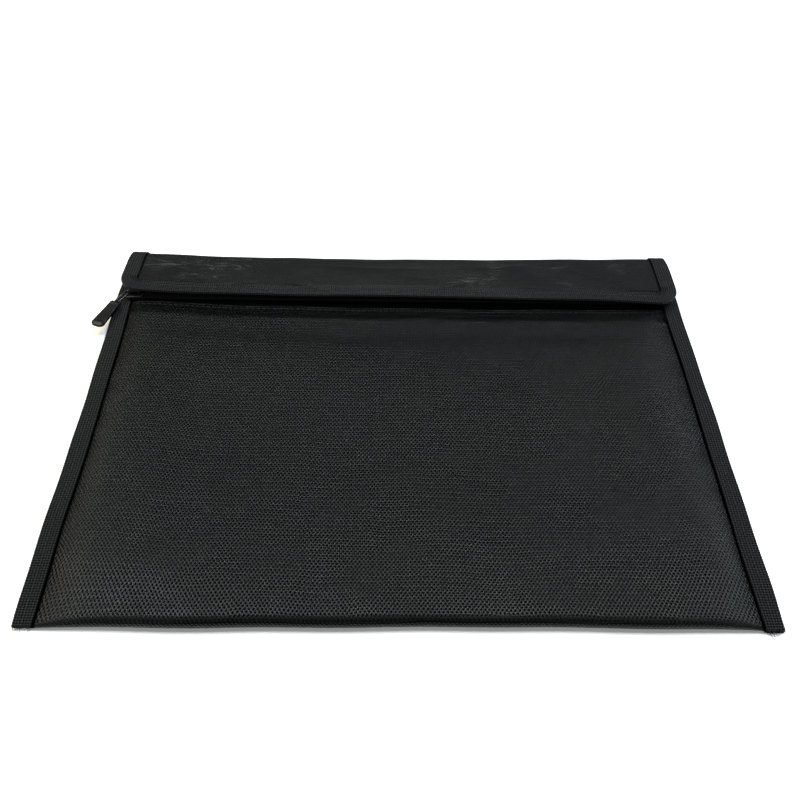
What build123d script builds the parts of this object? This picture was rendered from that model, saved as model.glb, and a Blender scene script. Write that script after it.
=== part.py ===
"""Fire-resistant battery pouch (flat document-size bag) with a zip under a storm flap.

Frame: millimetres, +Z up, the bag lies on its back. X runs along the zip, -Y is the
closed bottom fold, +Y is the fold where the flap starts. The origin is the middle of the
back panel's resting face.

One sheet of silicone-coated glass cloth makes the front panel, the bottom fold, the back
panel, the fold at the mouth and the flap. It is lined with a second thin sheet, and its
raw edges are wrapped in folded webbing and sewn through. The mouth is closed by a coil
zip whose slider carries a wire link and a moulded grip.
"""
from build123d import *
import math
import os

os.makedirs("parts", exist_ok=True)

# ------------------------------------------------------------------ driving sizes
BAG_W = 380.0          # over the side bindings
BAG_L = 280.0          # bottom fold to mouth fold
T_CLOTH = 0.8          # coated glass cloth
T_LINING = 0.5         # foil-faced lining
T_TAPE = 0.5           # zip tape
T_WEB = 0.7            # binding webbing, one leaf
W_BIND = 10.7          # visible width of a folded binding

FOLD_R = 5.25          # outer radius of the bottom fold and of the mouth fold
Z_BACK = 0.0           # the back panel rests on the table
Z_SEAM_LOW = 2.0       # underside of the side bindings
Z_MID_FOLD = 2 * FOLD_R          # top of the front panel above the bottom fold
Y_SLOPE = 58.0         # the front panel falls gently up to here...
Z_SLOPE = 7.3
Y_HEM_IN = 80.0        # ...then dips to the hem, which lies on the zip tape
Y_HEM = 86.0
Z_TAPE = 4.5           # underside of the zip tape
Z_HEM = Z_TAPE + T_TAPE + T_CLOTH

X_FLAT = 150.0         # the panels are level out to here, then fall to the side seams
X_SEAM = 179.2         # inner end of the flat side seam
X_CLOTH = 189.0        # cut edge of the cloth
X_OUT = BAG_W / 2
X_BIND = X_OUT - W_BIND          # inner edge of a side binding

Y_ZIP = 98.0           # centre line of the zip
TAPE_GAP = 0.6         # half the gap between the two tapes
COIL_W = 2.4
COIL_H = 2.0

Y_HINGE = BAG_L / 2 - FOLD_R     # flap hinge line, centre of the mouth fold
Z_HINGE = FOLD_R
Y_FLAP = 92.0          # front edge of the closed flap
FLAP_TILT = 4.6        # degrees, the closed flap rises over the slider
FLAP_R = 14.0          # corner radius of the flap

SLIDER_X = -176.5      # slider centre when the zip is closed
SLIDER_W = 9.0
NOSE_X = -6.6          # front end of the upper plate, from the slider's centre
LOWER_X = -2.5         # the lower plate starts behind the side binding
TAIL_X = 4.5
LINK_L = 10.2          # bridge post to grip pivot
LINK_R = 1.4           # centre-line half width of the link
LINK_D = 1.0           # wire diameter
PULL_ANGLE = 30.0      # the link points this far from -Y towards -X
GRIP_YAW = 11.0        # the loose grip hangs back towards -Y by this much on the link's bar
GRIP_L = 24.6
GRIP_T = 2.4
GRIP_W0, GRIP_W1 = 6.8, 9.2

written = []


def save(shape, name):
    export_step(shape, os.path.join("parts", name + ".step"))
    written.append(name)
    print(name, round(shape.volume, 1), "mm3")


def yz_face(x, points):
    """A face across X at the given station from (y, z) points."""
    return Face(Wire.make_polygon([Vector(x, y, z) for y, z in points], close=True))


def lofted(stations):
    """Joins faces at rising x with straight rules; stations is a list of (x, points)."""
    return loft([yz_face(x, p) for x, p in stations], ruled=True)


def mirrored_stations(half):
    """half: (x, points) for x >= 0 from the outside in; returns stations for the full width."""
    left = [(-x, p) for x, p in half]
    return left + [(x, p) for x, p in reversed(half)]


def box(x0, x1, y0, y1, z0, z1):
    return Pos((x0 + x1) / 2, (y0 + y1) / 2, (z0 + z1) / 2) * Box(x1 - x0, y1 - y0, z1 - z0)


ARC_N = 8              # straight spans in a fold's half round


# ------------------------------------------------------------------ outer shell
def shell_section(z_low, fold_top, slope_top, hem_top, fold_y, inset=0.0, t=T_CLOTH,
                  back_end=Y_HINGE, hem_end=Y_HEM, hem_in=Y_HEM_IN):
    """U of the folded sheet at one station: z_low is its underside, *_top its top side.

    inset moves the whole sheet inwards, for a lining that lies against the shell.
    """
    out, inn = [], []
    r = (fold_top - z_low) / 2 - inset
    yc, zc = fold_y + (fold_top - z_low) / 2, (fold_top + z_low) / 2
    out.append((back_end, z_low + inset))
    inn.append((back_end, z_low + inset + t))
    for i in range(ARC_N + 1):
        a = math.radians(-90 - 180 * i / ARC_N)
        out.append((yc + r * math.cos(a), zc + r * math.sin(a)))
        inn.append((yc + (r - t) * math.cos(a), zc + (r - t) * math.sin(a)))
    out.append((Y_SLOPE, slope_top - inset))
    inn.append((Y_SLOPE, slope_top - inset - t))
    out.append((hem_in, hem_top - inset))
    inn.append((hem_in, hem_top - inset - t))
    if hem_end > hem_in:
        out.append((hem_end, hem_top - inset))
        inn.append((hem_end, hem_top - inset - t))
    return out + inn[::-1]


Z_BACK_SEAM = Z_SEAM_LOW + T_WEB                 # back cloth in the seam
Z_LIN_SEAM = Z_BACK_SEAM + T_CLOTH               # back lining in the seam
Z_FRONT_SEAM = Z_LIN_SEAM + 2 * T_LINING         # front cloth in the seam
Z_SEAM_TOP = Z_FRONT_SEAM + T_CLOTH              # top of the cloth in the seam
Z_BIND_TOP = Z_SEAM_TOP + T_WEB

mid = shell_section(Z_BACK, Z_MID_FOLD, Z_SLOPE, Z_HEM, -BAG_L / 2)
near_seam = shell_section(Z_BACK_SEAM, Z_SEAM_TOP, Z_SEAM_TOP, Z_HEM, -BAG_L / 2)
seam = shell_section(Z_BACK_SEAM, Z_SEAM_TOP, Z_SEAM_TOP, Z_SEAM_TOP, -BAG_L / 2)
outer_shell = lofted(mirrored_stations([
    (X_CLOTH, seam),
    (X_SEAM, seam),
    (X_SEAM - 0.6, near_seam),
    (X_FLAT, mid),
]))
save(outer_shell, "outer_shell")

# ------------------------------------------------------------------ inner lining
LIN_END = 76.0         # the lining stops short of the hem


def lining_section(z_low, fold_top, slope_top, end_top, fold_y):
    return shell_section(z_low, fold_top, slope_top, end_top, fold_y, inset=T_CLOTH,
                         t=T_LINING, back_end=LIN_END, hem_end=0, hem_in=LIN_END)


def between(a, b, s):
    return a + (b - a) * s


s_end = (LIN_END - Y_SLOPE) / (Y_HEM_IN - Y_SLOPE)
lin_mid = lining_section(Z_BACK, Z_MID_FOLD, Z_SLOPE, between(Z_SLOPE, Z_HEM, s_end), -BAG_L / 2)


def thin_seam_lining(end_top):
    """In the seam the two lining leaves touch; a hair is left between them so the sheet stays one solid."""
    gap = 0.06
    z0, z3 = Z_LIN_SEAM, Z_FRONT_SEAM
    zm = (z0 + z3) / 2
    yc, r = -BAG_L / 2 + (Z_SEAM_TOP - Z_BACK_SEAM) / 2, (z3 - z0) / 2
    out, inn = [(LIN_END, z0)], [(LIN_END, zm - gap / 2)]
    for i in range(ARC_N + 1):
        a = math.radians(-90 - 180 * i / ARC_N)
        out.append((yc + r * math.cos(a), zm + r * math.sin(a)))
        inn.append((yc + gap / 2 * math.cos(a), zm + gap / 2 * math.sin(a)))
    out.append((Y_SLOPE, z3))
    inn.append((Y_SLOPE, zm + gap / 2))
    out.append((LIN_END, z3 + end_top))
    inn.append((LIN_END, zm + gap / 2 + end_top))
    return out + inn[::-1]


inner_lining = lofted(mirrored_stations([
    (X_CLOTH - 0.5, thin_seam_lining(0.0)),
    (X_SEAM, thin_seam_lining(0.0)),
    (X_SEAM - 0.6, thin_seam_lining(between(0.0, Z_HEM - Z_SEAM_TOP, s_end))),
    (X_FLAT, lin_mid),
]))
save(inner_lining, "inner_lining")

# ------------------------------------------------------------------ side bindings
Y_BIND0 = -BAG_L / 2 - 1.5
Y_BIND1 = 126.0


def side_binding(sign):
    """Folded webbing, a U in cross-section that opens towards the bag's middle."""
    def q(x, z):
        return Vector(sign * x, Y_BIND0, z)
    zo0, zo1 = Z_SEAM_LOW, Z_BIND_TOP
    zi0, zi1 = Z_BACK_SEAM, Z_SEAM_TOP
    pts = [(X_BIND, zo0)]
    r_out = (zo1 - zo0) / 2
    zc = (zo0 + zo1) / 2
    n = 6
    for i in range(n + 1):
        a = math.radians(-90 + 180 * i / n)
        pts.append((X_OUT - 1.2 + 1.2 * math.cos(a), zc + r_out * math.sin(a)))
    pts.append((X_BIND, zo1))
    pts.append((X_BIND, zi1))
    pts.append((X_OUT - T_WEB - 0.15, zi1))
    pts.append((X_OUT - T_WEB - 0.15, zi0))
    pts.append((X_BIND, zi0))
    face = Face(Wire.make_polygon([q(x, z) for x, z in pts], close=True))
    return extrude(face, amount=Y_BIND1 - Y_BIND0, dir=(0, 1, 0))


save(side_binding(-1), "left_side_binding")
save(side_binding(1), "right_side_binding")

# lock-stitch thread of each side seam: needle thread on top, bobbin thread below
THREAD = 0.4
X_STITCH = X_OUT - 6.2


def side_thread(sign):
    x = sign * X_STITCH
    top = box(x - THREAD / 2, x + THREAD / 2, Y_BIND0 + 2, Y_BIND1 - 2, Z_BIND_TOP, Z_BIND_TOP + THREAD / 2)
    low = box(x - THREAD / 2, x + THREAD / 2, Y_BIND0 + 2, Y_BIND1 - 2, Z_SEAM_LOW - THREAD / 2, Z_SEAM_LOW)
    return Compound(children=[top, low])


save(side_thread(-1), "left_seam_thread")
save(side_thread(1), "right_seam_thread")

# ------------------------------------------------------------------ zip
X_TAPE = X_CLOTH - 0.5
# front tape: sewn under the hem, and caught in the side bindings beyond it
tape_front = box(-X_TAPE, X_TAPE, Y_HEM + 0.2, Y_ZIP - TAPE_GAP, Z_TAPE, Z_TAPE + T_TAPE) + \
    box(-(X_SEAM - 0.8), X_SEAM - 0.8, Y_HEM_IN, Y_HEM + 0.2, Z_TAPE, Z_TAPE + T_TAPE)
save(tape_front, "zip_tape_front")

Y_TAPE_FLAT = 103.0
Y_TAPE_LAND = 113.0
Y_TAPE_END = 118.0


def tape_section(z_land):
    y0 = Y_ZIP + TAPE_GAP
    return [(y0, Z_TAPE), (Y_TAPE_FLAT, Z_TAPE), (Y_TAPE_LAND, z_land), (Y_TAPE_END, z_land),
            (Y_TAPE_END, z_land + T_TAPE), (Y_TAPE_LAND, z_land + T_TAPE),
            (Y_TAPE_FLAT, Z_TAPE + T_TAPE), (y0, Z_TAPE + T_TAPE)]


tape_back = lofted(mirrored_stations([
    (X_TAPE, tape_section(Z_LIN_SEAM)),
    (X_SEAM, tape_section(Z_LIN_SEAM)),
    (X_SEAM - 0.6, tape_section(Z_LIN_SEAM)),
    (X_FLAT, tape_section(Z_BACK + T_CLOTH)),
]))
save(tape_back, "zip_tape_back")

X_COIL = X_BIND - 0.2
Z_COIL = Z_TAPE + T_TAPE
save(box(-X_COIL, X_COIL, Y_ZIP - TAPE_GAP - COIL_W, Y_ZIP - TAPE_GAP, Z_COIL, Z_COIL + COIL_H),
     "zip_coil_front")
save(box(-X_COIL, X_COIL, Y_ZIP + TAPE_GAP, Y_ZIP + TAPE_GAP + COIL_W, Z_COIL, Z_COIL + COIL_H),
     "zip_coil_back")

# seams that hold the two tapes: one along the hem, one through the back panel
Y_HEM_STITCH = Y_HEM - 2.2
hem_thread = Compound(children=[
    box(-X_FLAT, X_FLAT, Y_HEM_STITCH - THREAD / 2, Y_HEM_STITCH + THREAD / 2, Z_HEM, Z_HEM + THREAD / 2),
    box(-X_FLAT, X_FLAT, Y_HEM_STITCH - THREAD / 2, Y_HEM_STITCH + THREAD / 2,
        Z_TAPE - THREAD / 2, Z_TAPE),
])
save(hem_thread, "zip_front_seam_thread")
Y_BACK_STITCH = Y_TAPE_END - 2.5
back_thread = box(-X_FLAT, X_FLAT, Y_BACK_STITCH - THREAD / 2, Y_BACK_STITCH + THREAD / 2,
                  Z_BACK + T_CLOTH + T_TAPE, Z_BACK + T_CLOTH + T_TAPE + THREAD / 2)
save(back_thread, "zip_back_seam_thread")

# ------------------------------------------------------------------ slider
S_LOW0, S_LOW1 = 3.72, 4.3                       # lower plate
S_TOP0 = Z_COIL + COIL_H + 0.3                   # upper plate
S_TOP1 = S_TOP0 + 0.9
BAIL_H = 2.5
HOLE_H = 1.7
BAIL_W = 1.8
LEG = 0.9
POST_R = 0.5
BAIL_X0, BAIL_X1 = -5.9, 2.4                     # outside of the two legs, from the slider's centre


def slider_plate(x0, z0, z1):
    """Plate with a wide front (towards -X) and a narrower tail, corners rounded."""
    w0, w1 = SLIDER_W / 2, SLIDER_W / 2 - 0.9
    pts = [(x0, -w0), (x0 + 3.0, -w0), (TAIL_X, -w1), (TAIL_X, w1), (x0 + 3.0, w0), (x0, w0)]
    face = Face(Wire.make_polygon([Vector(SLIDER_X + x, Y_ZIP + y, z0) for x, y in pts], close=True))
    solid = extrude(face, amount=z1 - z0, dir=(0, 0, 1))
    return fillet(solid.edges().filter_by(Axis.Z), 0.9)


lower = slider_plate(LOWER_X, S_LOW0, S_LOW1)
upper = slider_plate(NOSE_X, S_TOP0, S_TOP1)
# side flanges of the upper plate reach down to just above the tape
fl_z0 = Z_COIL + 0.3
flange_depth = 0.8


def flange(side):
    y_out = Y_ZIP + side * (SLIDER_W / 2 - 0.9)
    y_in = y_out - side * flange_depth * 0.6
    return box(SLIDER_X + LOWER_X + 0.3, SLIDER_X + TAIL_X - 0.9,
               min(y_in, y_out), max(y_in, y_out), fl_z0, S_TOP0 + 0.2)


neck = box(SLIDER_X + LOWER_X + 0.3, SLIDER_X + LOWER_X + 2.5, Y_ZIP - 0.4, Y_ZIP + 0.4,
           S_LOW1 - 0.2, S_TOP0 + 0.2)
bail_block = box(SLIDER_X + BAIL_X0, SLIDER_X + BAIL_X1, Y_ZIP - BAIL_W / 2, Y_ZIP + BAIL_W / 2,
                 S_TOP1 - 0.1, S_TOP1 + BAIL_H)
# the leg that the link hangs on is a round post, the other is square
bail_hole = box(SLIDER_X + BAIL_X0 - 1, SLIDER_X + BAIL_X1 - LEG, Y_ZIP - 3, Y_ZIP + 3,
                S_TOP1, S_TOP1 + HOLE_H)
bail_post = Pos(SLIDER_X + BAIL_X0 + LEG / 2, Y_ZIP, S_TOP1 + HOLE_H / 2) * \
    Cylinder(POST_R, HOLE_H + 0.3)
bail_edges = bail_block.edges().filter_by(Axis.Y).sort_by(Axis.Z)[-2:]
bail = fillet(bail_edges, 0.7) - bail_hole + bail_post
slider_body = upper + flange(-1) + flange(1) + neck + lower + bail
save(slider_body, "slider_body")

# ------------------------------------------------------------------ pull: wire link and moulded grip
LEG_X = SLIDER_X + BAIL_X0 + LEG / 2             # the link turns round this leg of the bail
Z_LINK = S_TOP1 + HOLE_H / 2
# built along -Y from the leg, then turned by the pull angle about the leg
def rod(x0, y0, x1, y1):
    """Round wire from one point to another in the link's plane, with round ends."""
    ln = math.hypot(x1 - x0, y1 - y0)
    turn = math.degrees(math.atan2(y1 - y0, x1 - x0))
    return Pos((x0 + x1) / 2, (y0 + y1) / 2, 0) * Rot(0, 0, turn) * Rot(0, 90, 0) * \
        Cylinder(LINK_D / 2, ln)


with BuildPart() as bow_b:
    with BuildLine() as bow_path:
        ThreePointArc((-LINK_R, 0), (0, LINK_R), (LINK_R, 0))
    with BuildSketch(Plane(origin=(LINK_R, 0, 0), x_dir=(1, 0, 0), z_dir=(0, 1, 0))):
        Circle(LINK_D / 2)
    sweep(path=bow_path.wire())
link_local = bow_b.part + rod(LINK_R, 0, LINK_R, -LINK_L) + rod(-LINK_R, 0, -LINK_R, -LINK_L) + \
    rod(-LINK_R, -LINK_L, LINK_R, -LINK_L) + Pos(LINK_R, -LINK_L, 0) * Sphere(LINK_D / 2) + \
    Pos(-LINK_R, -LINK_L, 0) * Sphere(LINK_D / 2)


def place_pull(shape):
    return Pos(LEG_X, Y_ZIP, Z_LINK) * Rot(0, 0, -PULL_ANGLE) * shape


save(place_pull(link_local), "pull_link")

# grip: an eye round the link's cross bar, a short web, then a slightly flared flat grip
EYE_BORE = LINK_D / 2 + 0.12
EYE_R = 1.2
EYE_W = LINK_R * 2 - LINK_D - 0.2
y_eye = -LINK_L
eye = Pos(0, y_eye, 0) * Rot(0, 90, 0) * Cylinder(EYE_R, EYE_W)
eye_hole = Pos(0, y_eye, 0) * Rot(0, 90, 0) * Cylinder(EYE_BORE, EYE_W + 2)
web = box(-EYE_W / 2, EYE_W / 2, y_eye - 2.2, y_eye - 0.6, -0.85, 0.85)
y0, y1 = y_eye - 1.45, y_eye - 1.45 - GRIP_L
grip_face = Face(Wire.make_polygon([
    Vector(-GRIP_W0 / 2, y0, -GRIP_T / 2), Vector(GRIP_W0 / 2, y0, -GRIP_T / 2),
    Vector(GRIP_W1 / 2, y1, -GRIP_T / 2), Vector(-GRIP_W1 / 2, y1, -GRIP_T / 2)], close=True))
grip = extrude(grip_face, amount=GRIP_T, dir=(0, 0, 1))
grip_edges = grip.edges().filter_by(Axis.Z).sort_by(Axis.Y)
grip = fillet(grip_edges[:2], 3.6)
grip = fillet(grip.edges().filter_by(Axis.Z).sort_by(Axis.Y)[-2:], 1.2)
grip = fillet(grip.faces().sort_by(Axis.Z)[-1].edges(), 0.6)
grip = fillet(grip.faces().sort_by(Axis.Z)[0].edges(), 0.6)
grip = Pos(0, y_eye, 0) * Rot(0, 0, GRIP_YAW) * Pos(0, -y_eye, 0) * grip
grip_all = (grip + web + eye) - eye_hole
save(place_pull(grip_all), "pull_grip")

# ------------------------------------------------------------------ flap
# Built level with its underside at z = 0 and its root at y = 0, then tilted and moved.
FLAP_L = (Y_HINGE - Y_FLAP) / math.cos(math.radians(FLAP_TILT))
CORE_L = FLAP_L - T_WEB - 0.1
CORE_X = X_OUT - T_WEB - 0.1
FLAP_ROOT_Z = 2 * FOLD_R - T_CLOTH - T_LINING    # underside of the flap's lining at the root


def flap_outline(half_w, length, radius, z0, z1, root=0.0):
    face = Face(Wire.make_polygon([
        Vector(-half_w, root, z0), Vector(half_w, root, z0),
        Vector(half_w, -length, z0), Vector(-half_w, -length, z0)], close=True))
    solid = extrude(face, amount=z1 - z0, dir=(0, 0, 1))
    if radius:
        solid = fillet(solid.edges().filter_by(Axis.Z).sort_by(Axis.Y)[:2], radius)
    return solid


def place_flap(shape):
    return Pos(0, Y_HINGE, FLAP_ROOT_Z) * Rot(-FLAP_TILT, 0, 0) * shape


ROOT_IN = -0.3         # the flap's parts start this far past the hinge line
flap_lining = flap_outline(CORE_X - 0.4, CORE_L - 0.4, FLAP_R - 1.2, 0, T_LINING, ROOT_IN)
flap_panel = flap_outline(CORE_X, CORE_L, FLAP_R - 0.8, T_LINING, T_LINING + T_CLOTH, ROOT_IN)
save(place_flap(flap_panel), "flap_panel")
save(place_flap(flap_lining), "flap_lining")

core_t = T_LINING + T_CLOTH
web_outer = flap_outline(X_OUT, FLAP_L, FLAP_R, -T_WEB, core_t + T_WEB, ROOT_IN)
web_outer = fillet(
    [e for e in web_outer.edges() if e.center().Y < -1.0 and abs(e.tangent_at(0.5).Z) < 0.1
     and (abs(e.center().Z + T_WEB) < 1e-3 or abs(e.center().Z - core_t - T_WEB) < 1e-3)
     and not (abs(abs(e.tangent_at(0.5).X) - 1) < 1e-6 and abs(e.center().Y - ROOT_IN) < 1e-3)], 0.6)
web_slot = flap_outline(CORE_X + 0.05, CORE_L + 0.05, FLAP_R - 0.8, 0, core_t, 5.0)
web_window = flap_outline(X_OUT - W_BIND, FLAP_L - W_BIND, FLAP_R - W_BIND + 1.5, -5, 5, 5.0)
save(place_flap(web_outer - web_slot - web_window), "flap_binding")

# flap seam thread, sewn round the middle of the binding, above and below


def thread_loop(z0, z1):
    d = 6.2
    outer = flap_outline(X_OUT - d + THREAD / 2, FLAP_L - d + THREAD / 2, FLAP_R - d + THREAD / 2 + 1.5, z0, z1, -1.5)
    inner = flap_outline(X_OUT - d - THREAD / 2, FLAP_L - d - THREAD / 2, FLAP_R - d - THREAD / 2 + 1.5, z0 - 1, z1 + 1, 5.0)
    return outer - inner


flap_thread = Compound(children=[
    place_flap(thread_loop(core_t + T_WEB, core_t + T_WEB + THREAD / 2)),
    place_flap(thread_loop(-T_WEB - THREAD / 2, -T_WEB))])
save(flap_thread, "flap_seam_thread")

# ------------------------------------------------------------------ fold at the mouth
# The strip of the sheet that bends between the back panel and the flap.


def fold_section(z_low):
    z_top = 2 * FOLD_R
    r = (z_top - z_low) / 2
    zc = (z_top + z_low) / 2
    y = Y_HINGE + 0.05
    out, inn = [], []
    for i in range(ARC_N + 1):
        a = math.radians(-90 + 180 * i / ARC_N)
        out.append((y + r * math.cos(a), zc + r * math.sin(a)))
        inn.append((y + (r - T_CLOTH) * math.cos(a), zc + (r - T_CLOTH) * math.sin(a)))
    return out + inn[::-1]


flap_fold = lofted(mirrored_stations([
    (X_CLOTH, fold_section(Z_BACK_SEAM)),
    (X_SEAM, fold_section(Z_BACK_SEAM)),
    (X_SEAM - 0.6, fold_section(Z_BACK_SEAM)),
    (X_FLAT, fold_section(Z_BACK)),
]))
save(flap_fold, "flap_fold")

print("swivel axis", round(LEG_X, 3), Y_ZIP, "link height", round(Z_LINK, 3))
gx = LEG_X - LINK_L * math.sin(math.radians(PULL_ANGLE))
gy = Y_ZIP - LINK_L * math.cos(math.radians(PULL_ANGLE))
print("grip pivot", round(gx, 3), round(gy, 3), round(Z_LINK, 3))
print("grip axis direction", round(math.cos(math.radians(PULL_ANGLE)), 5), round(-math.sin(math.radians(PULL_ANGLE)), 5))
print("hinge", Y_HINGE, Z_HINGE, "binding top", Z_BIND_TOP, "link top", Z_LINK + LINK_D / 2, "bail top", S_TOP1 + BAIL_H)
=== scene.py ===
"""Looks of the fire-resistant battery pouch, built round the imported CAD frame.

All working sizes are in millimetres and are scaled to metres when a mesh is made. X runs
along the zip, -Y is the bottom fold, +Y the fold at the mouth, +Z up.
"""
import math

import bpy
import numpy as np
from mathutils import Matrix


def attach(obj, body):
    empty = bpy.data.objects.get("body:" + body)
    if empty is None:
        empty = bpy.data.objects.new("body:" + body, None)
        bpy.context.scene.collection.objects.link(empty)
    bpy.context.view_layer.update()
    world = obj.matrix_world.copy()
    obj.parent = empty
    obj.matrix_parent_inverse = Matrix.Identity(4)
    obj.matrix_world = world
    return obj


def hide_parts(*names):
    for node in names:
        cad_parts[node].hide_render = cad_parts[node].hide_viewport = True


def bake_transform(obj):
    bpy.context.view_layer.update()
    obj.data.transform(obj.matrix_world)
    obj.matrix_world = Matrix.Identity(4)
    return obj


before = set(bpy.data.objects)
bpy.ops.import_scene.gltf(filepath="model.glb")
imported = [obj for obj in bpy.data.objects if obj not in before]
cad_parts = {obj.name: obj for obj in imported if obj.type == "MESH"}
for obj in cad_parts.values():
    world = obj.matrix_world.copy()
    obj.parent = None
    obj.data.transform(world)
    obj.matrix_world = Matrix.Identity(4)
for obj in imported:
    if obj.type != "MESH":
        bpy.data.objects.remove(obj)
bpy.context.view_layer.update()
MM = 0.001
rng = np.random.default_rng(7)
scene = bpy.context.scene

# ------------------------------------------------------------------ camera
cam_data = bpy.data.cameras.new("camera")
cam_data.sensor_width = 36.0
cam_data.lens = 37.66
cam = bpy.data.objects.new("camera", cam_data)
scene.collection.objects.link(cam)
PITCH, YAW, ROLL = 0.839484542500154, 0.027606186287925327, 0.030242905140380798
cam.location = (-0.00948303627, -0.33085301052, 0.38134924648)


def set_camera():
    from mathutils import Matrix, Vector
    cp, sp = math.cos(PITCH), math.sin(PITCH)
    fwd = Vector((math.sin(YAW) * cp, math.cos(YAW) * cp, -sp))
    right = Vector((math.cos(YAW), -math.sin(YAW), 0.0))
    up = right.cross(fwd)
    cr, sr = math.cos(ROLL), math.sin(ROLL)
    r2, u2 = cr * right + sr * up, -sr * right + cr * up
    m = Matrix((r2, u2, -fwd)).transposed()
    cam.rotation_mode = "QUATERNION"
    cam.rotation_quaternion = m.to_quaternion()


set_camera()
scene.camera = cam

# ------------------------------------------------------------------ mesh helpers


def grid(nu, nv, wrap_u=False, wrap_v=False, off=0, flip=False):
    """Quads of a nu x nv grid of points, as an array of point numbers."""
    i = np.arange(nu if wrap_u else nu - 1)
    j = np.arange(nv if wrap_v else nv - 1)
    a, b = np.meshgrid(i, j, indexing="ij")
    a2, b2 = (a + 1) % nu, (b + 1) % nv
    q = np.stack([a * nv + b, a2 * nv + b, a2 * nv + b2, a * nv + b2], -1).reshape(-1, 4) + off
    return q[:, ::-1] if flip else q


def make(name, verts, faces, mat, cloth=None, body=None, slot=None, smooth=True):
    """A mesh object from points in millimetres; cloth is each point's place on the flat cloth, its third value how much
    painted shade the material lays there.
    """
    me = bpy.data.meshes.new(name)
    verts = np.asarray(verts, float) * MM
    me.from_pydata(verts.tolist(), [], [list(map(int, f)) for f in faces])
    me.polygons.foreach_set("use_smooth", [smooth] * len(me.polygons))
    if cloth is not None:
        a = me.attributes.new("cloth", "FLOAT_VECTOR", "POINT")
        a.data.foreach_set("vector", (np.asarray(cloth, float) * MM).astype(np.float32).ravel())
    me.update()
    ob = bpy.data.objects.new(name, me)
    scene.collection.objects.link(ob)
    me.materials.append(mat)
    if body:
        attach(ob, body)
    return ob


def rim(nu, nv, n):
    """Quads that join the borders of two nu x nv grids, the second one n points later."""
    loop = [(i, 0) for i in range(nu)] + [(nu - 1, j) for j in range(1, nv)] + \
        [(i, nv - 1) for i in range(nu - 2, -1, -1)] + [(0, j) for j in range(nv - 2, 0, -1)]
    idx = [i * nv + j for i, j in loop]
    return [[a, a + n, b + n, b] for a, b in zip(idx, idx[1:] + idx[:1])]


def normals(p):
    """Unit normals of a grid of points [nu, nv, 3]."""
    du, dv = np.gradient(p, axis=0), np.gradient(p, axis=1)
    n = np.cross(du, dv)
    return n / np.maximum(np.linalg.norm(n, axis=-1, keepdims=True), 1e-9)


def slab(name, top, low, mat, cloth, sides=True, **kw):
    """A sheet with thickness between two grids; top faces along normals(top)."""
    nu, nv = top.shape[:2]
    n = nu * nv
    faces = list(grid(nu, nv)) + list(grid(nu, nv, off=n, flip=True))
    if sides:
        faces += rim(nu, nv, n)
    c = np.concatenate([cloth.reshape(-1, 3), cloth.reshape(-1, 3)])
    return make(name, np.concatenate([top.reshape(-1, 3), low.reshape(-1, 3)]), faces, mat, c, **kw)


def tube(path, radius, around=8, closed=False):
    """Points and quads of a round tube along a path of points."""
    path = np.asarray(path, float)
    t = np.gradient(path, axis=0)
    if closed:
        t = np.roll(path, -1, 0) - np.roll(path, 1, 0)
    t /= np.linalg.norm(t, axis=1, keepdims=True)
    ref = np.array([0.0, 0.0, 1.0]) if abs(t[:, 2]).mean() < 0.8 else np.array([1.0, 0.0, 0.0])
    s = np.cross(t, ref)
    s /= np.linalg.norm(s, axis=1, keepdims=True)
    u = np.cross(s, t)
    a = np.linspace(0, 2 * math.pi, around, endpoint=False)
    r = np.broadcast_to(np.asarray(radius, float), (len(path),))[:, None, None]
    pts = path[:, None] + r * (np.cos(a)[None, :, None] * s[:, None] + np.sin(a)[None, :, None] * u[:, None])
    faces = [list(f) for f in grid(len(path), around, wrap_u=closed, wrap_v=True)]
    if not closed:
        faces.append(list(range(around))[::-1])
        faces.append([(len(path) - 1) * around + k for k in range(around)])
    return pts.reshape(-1, 3), faces


def merged(parts):
    """Joins (points, faces) pairs into one."""
    vs, fs, off = [], [], 0
    for v, f in parts:
        vs.append(np.asarray(v, float))
        fs += [[int(k) + off for k in q] for q in f]
        off += len(v)
    return np.concatenate(vs), fs


def sstep(t):
    t = np.clip(t, 0, 1)
    return t * t * (3 - 2 * t)


# ------------------------------------------------------------------ materials


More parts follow.
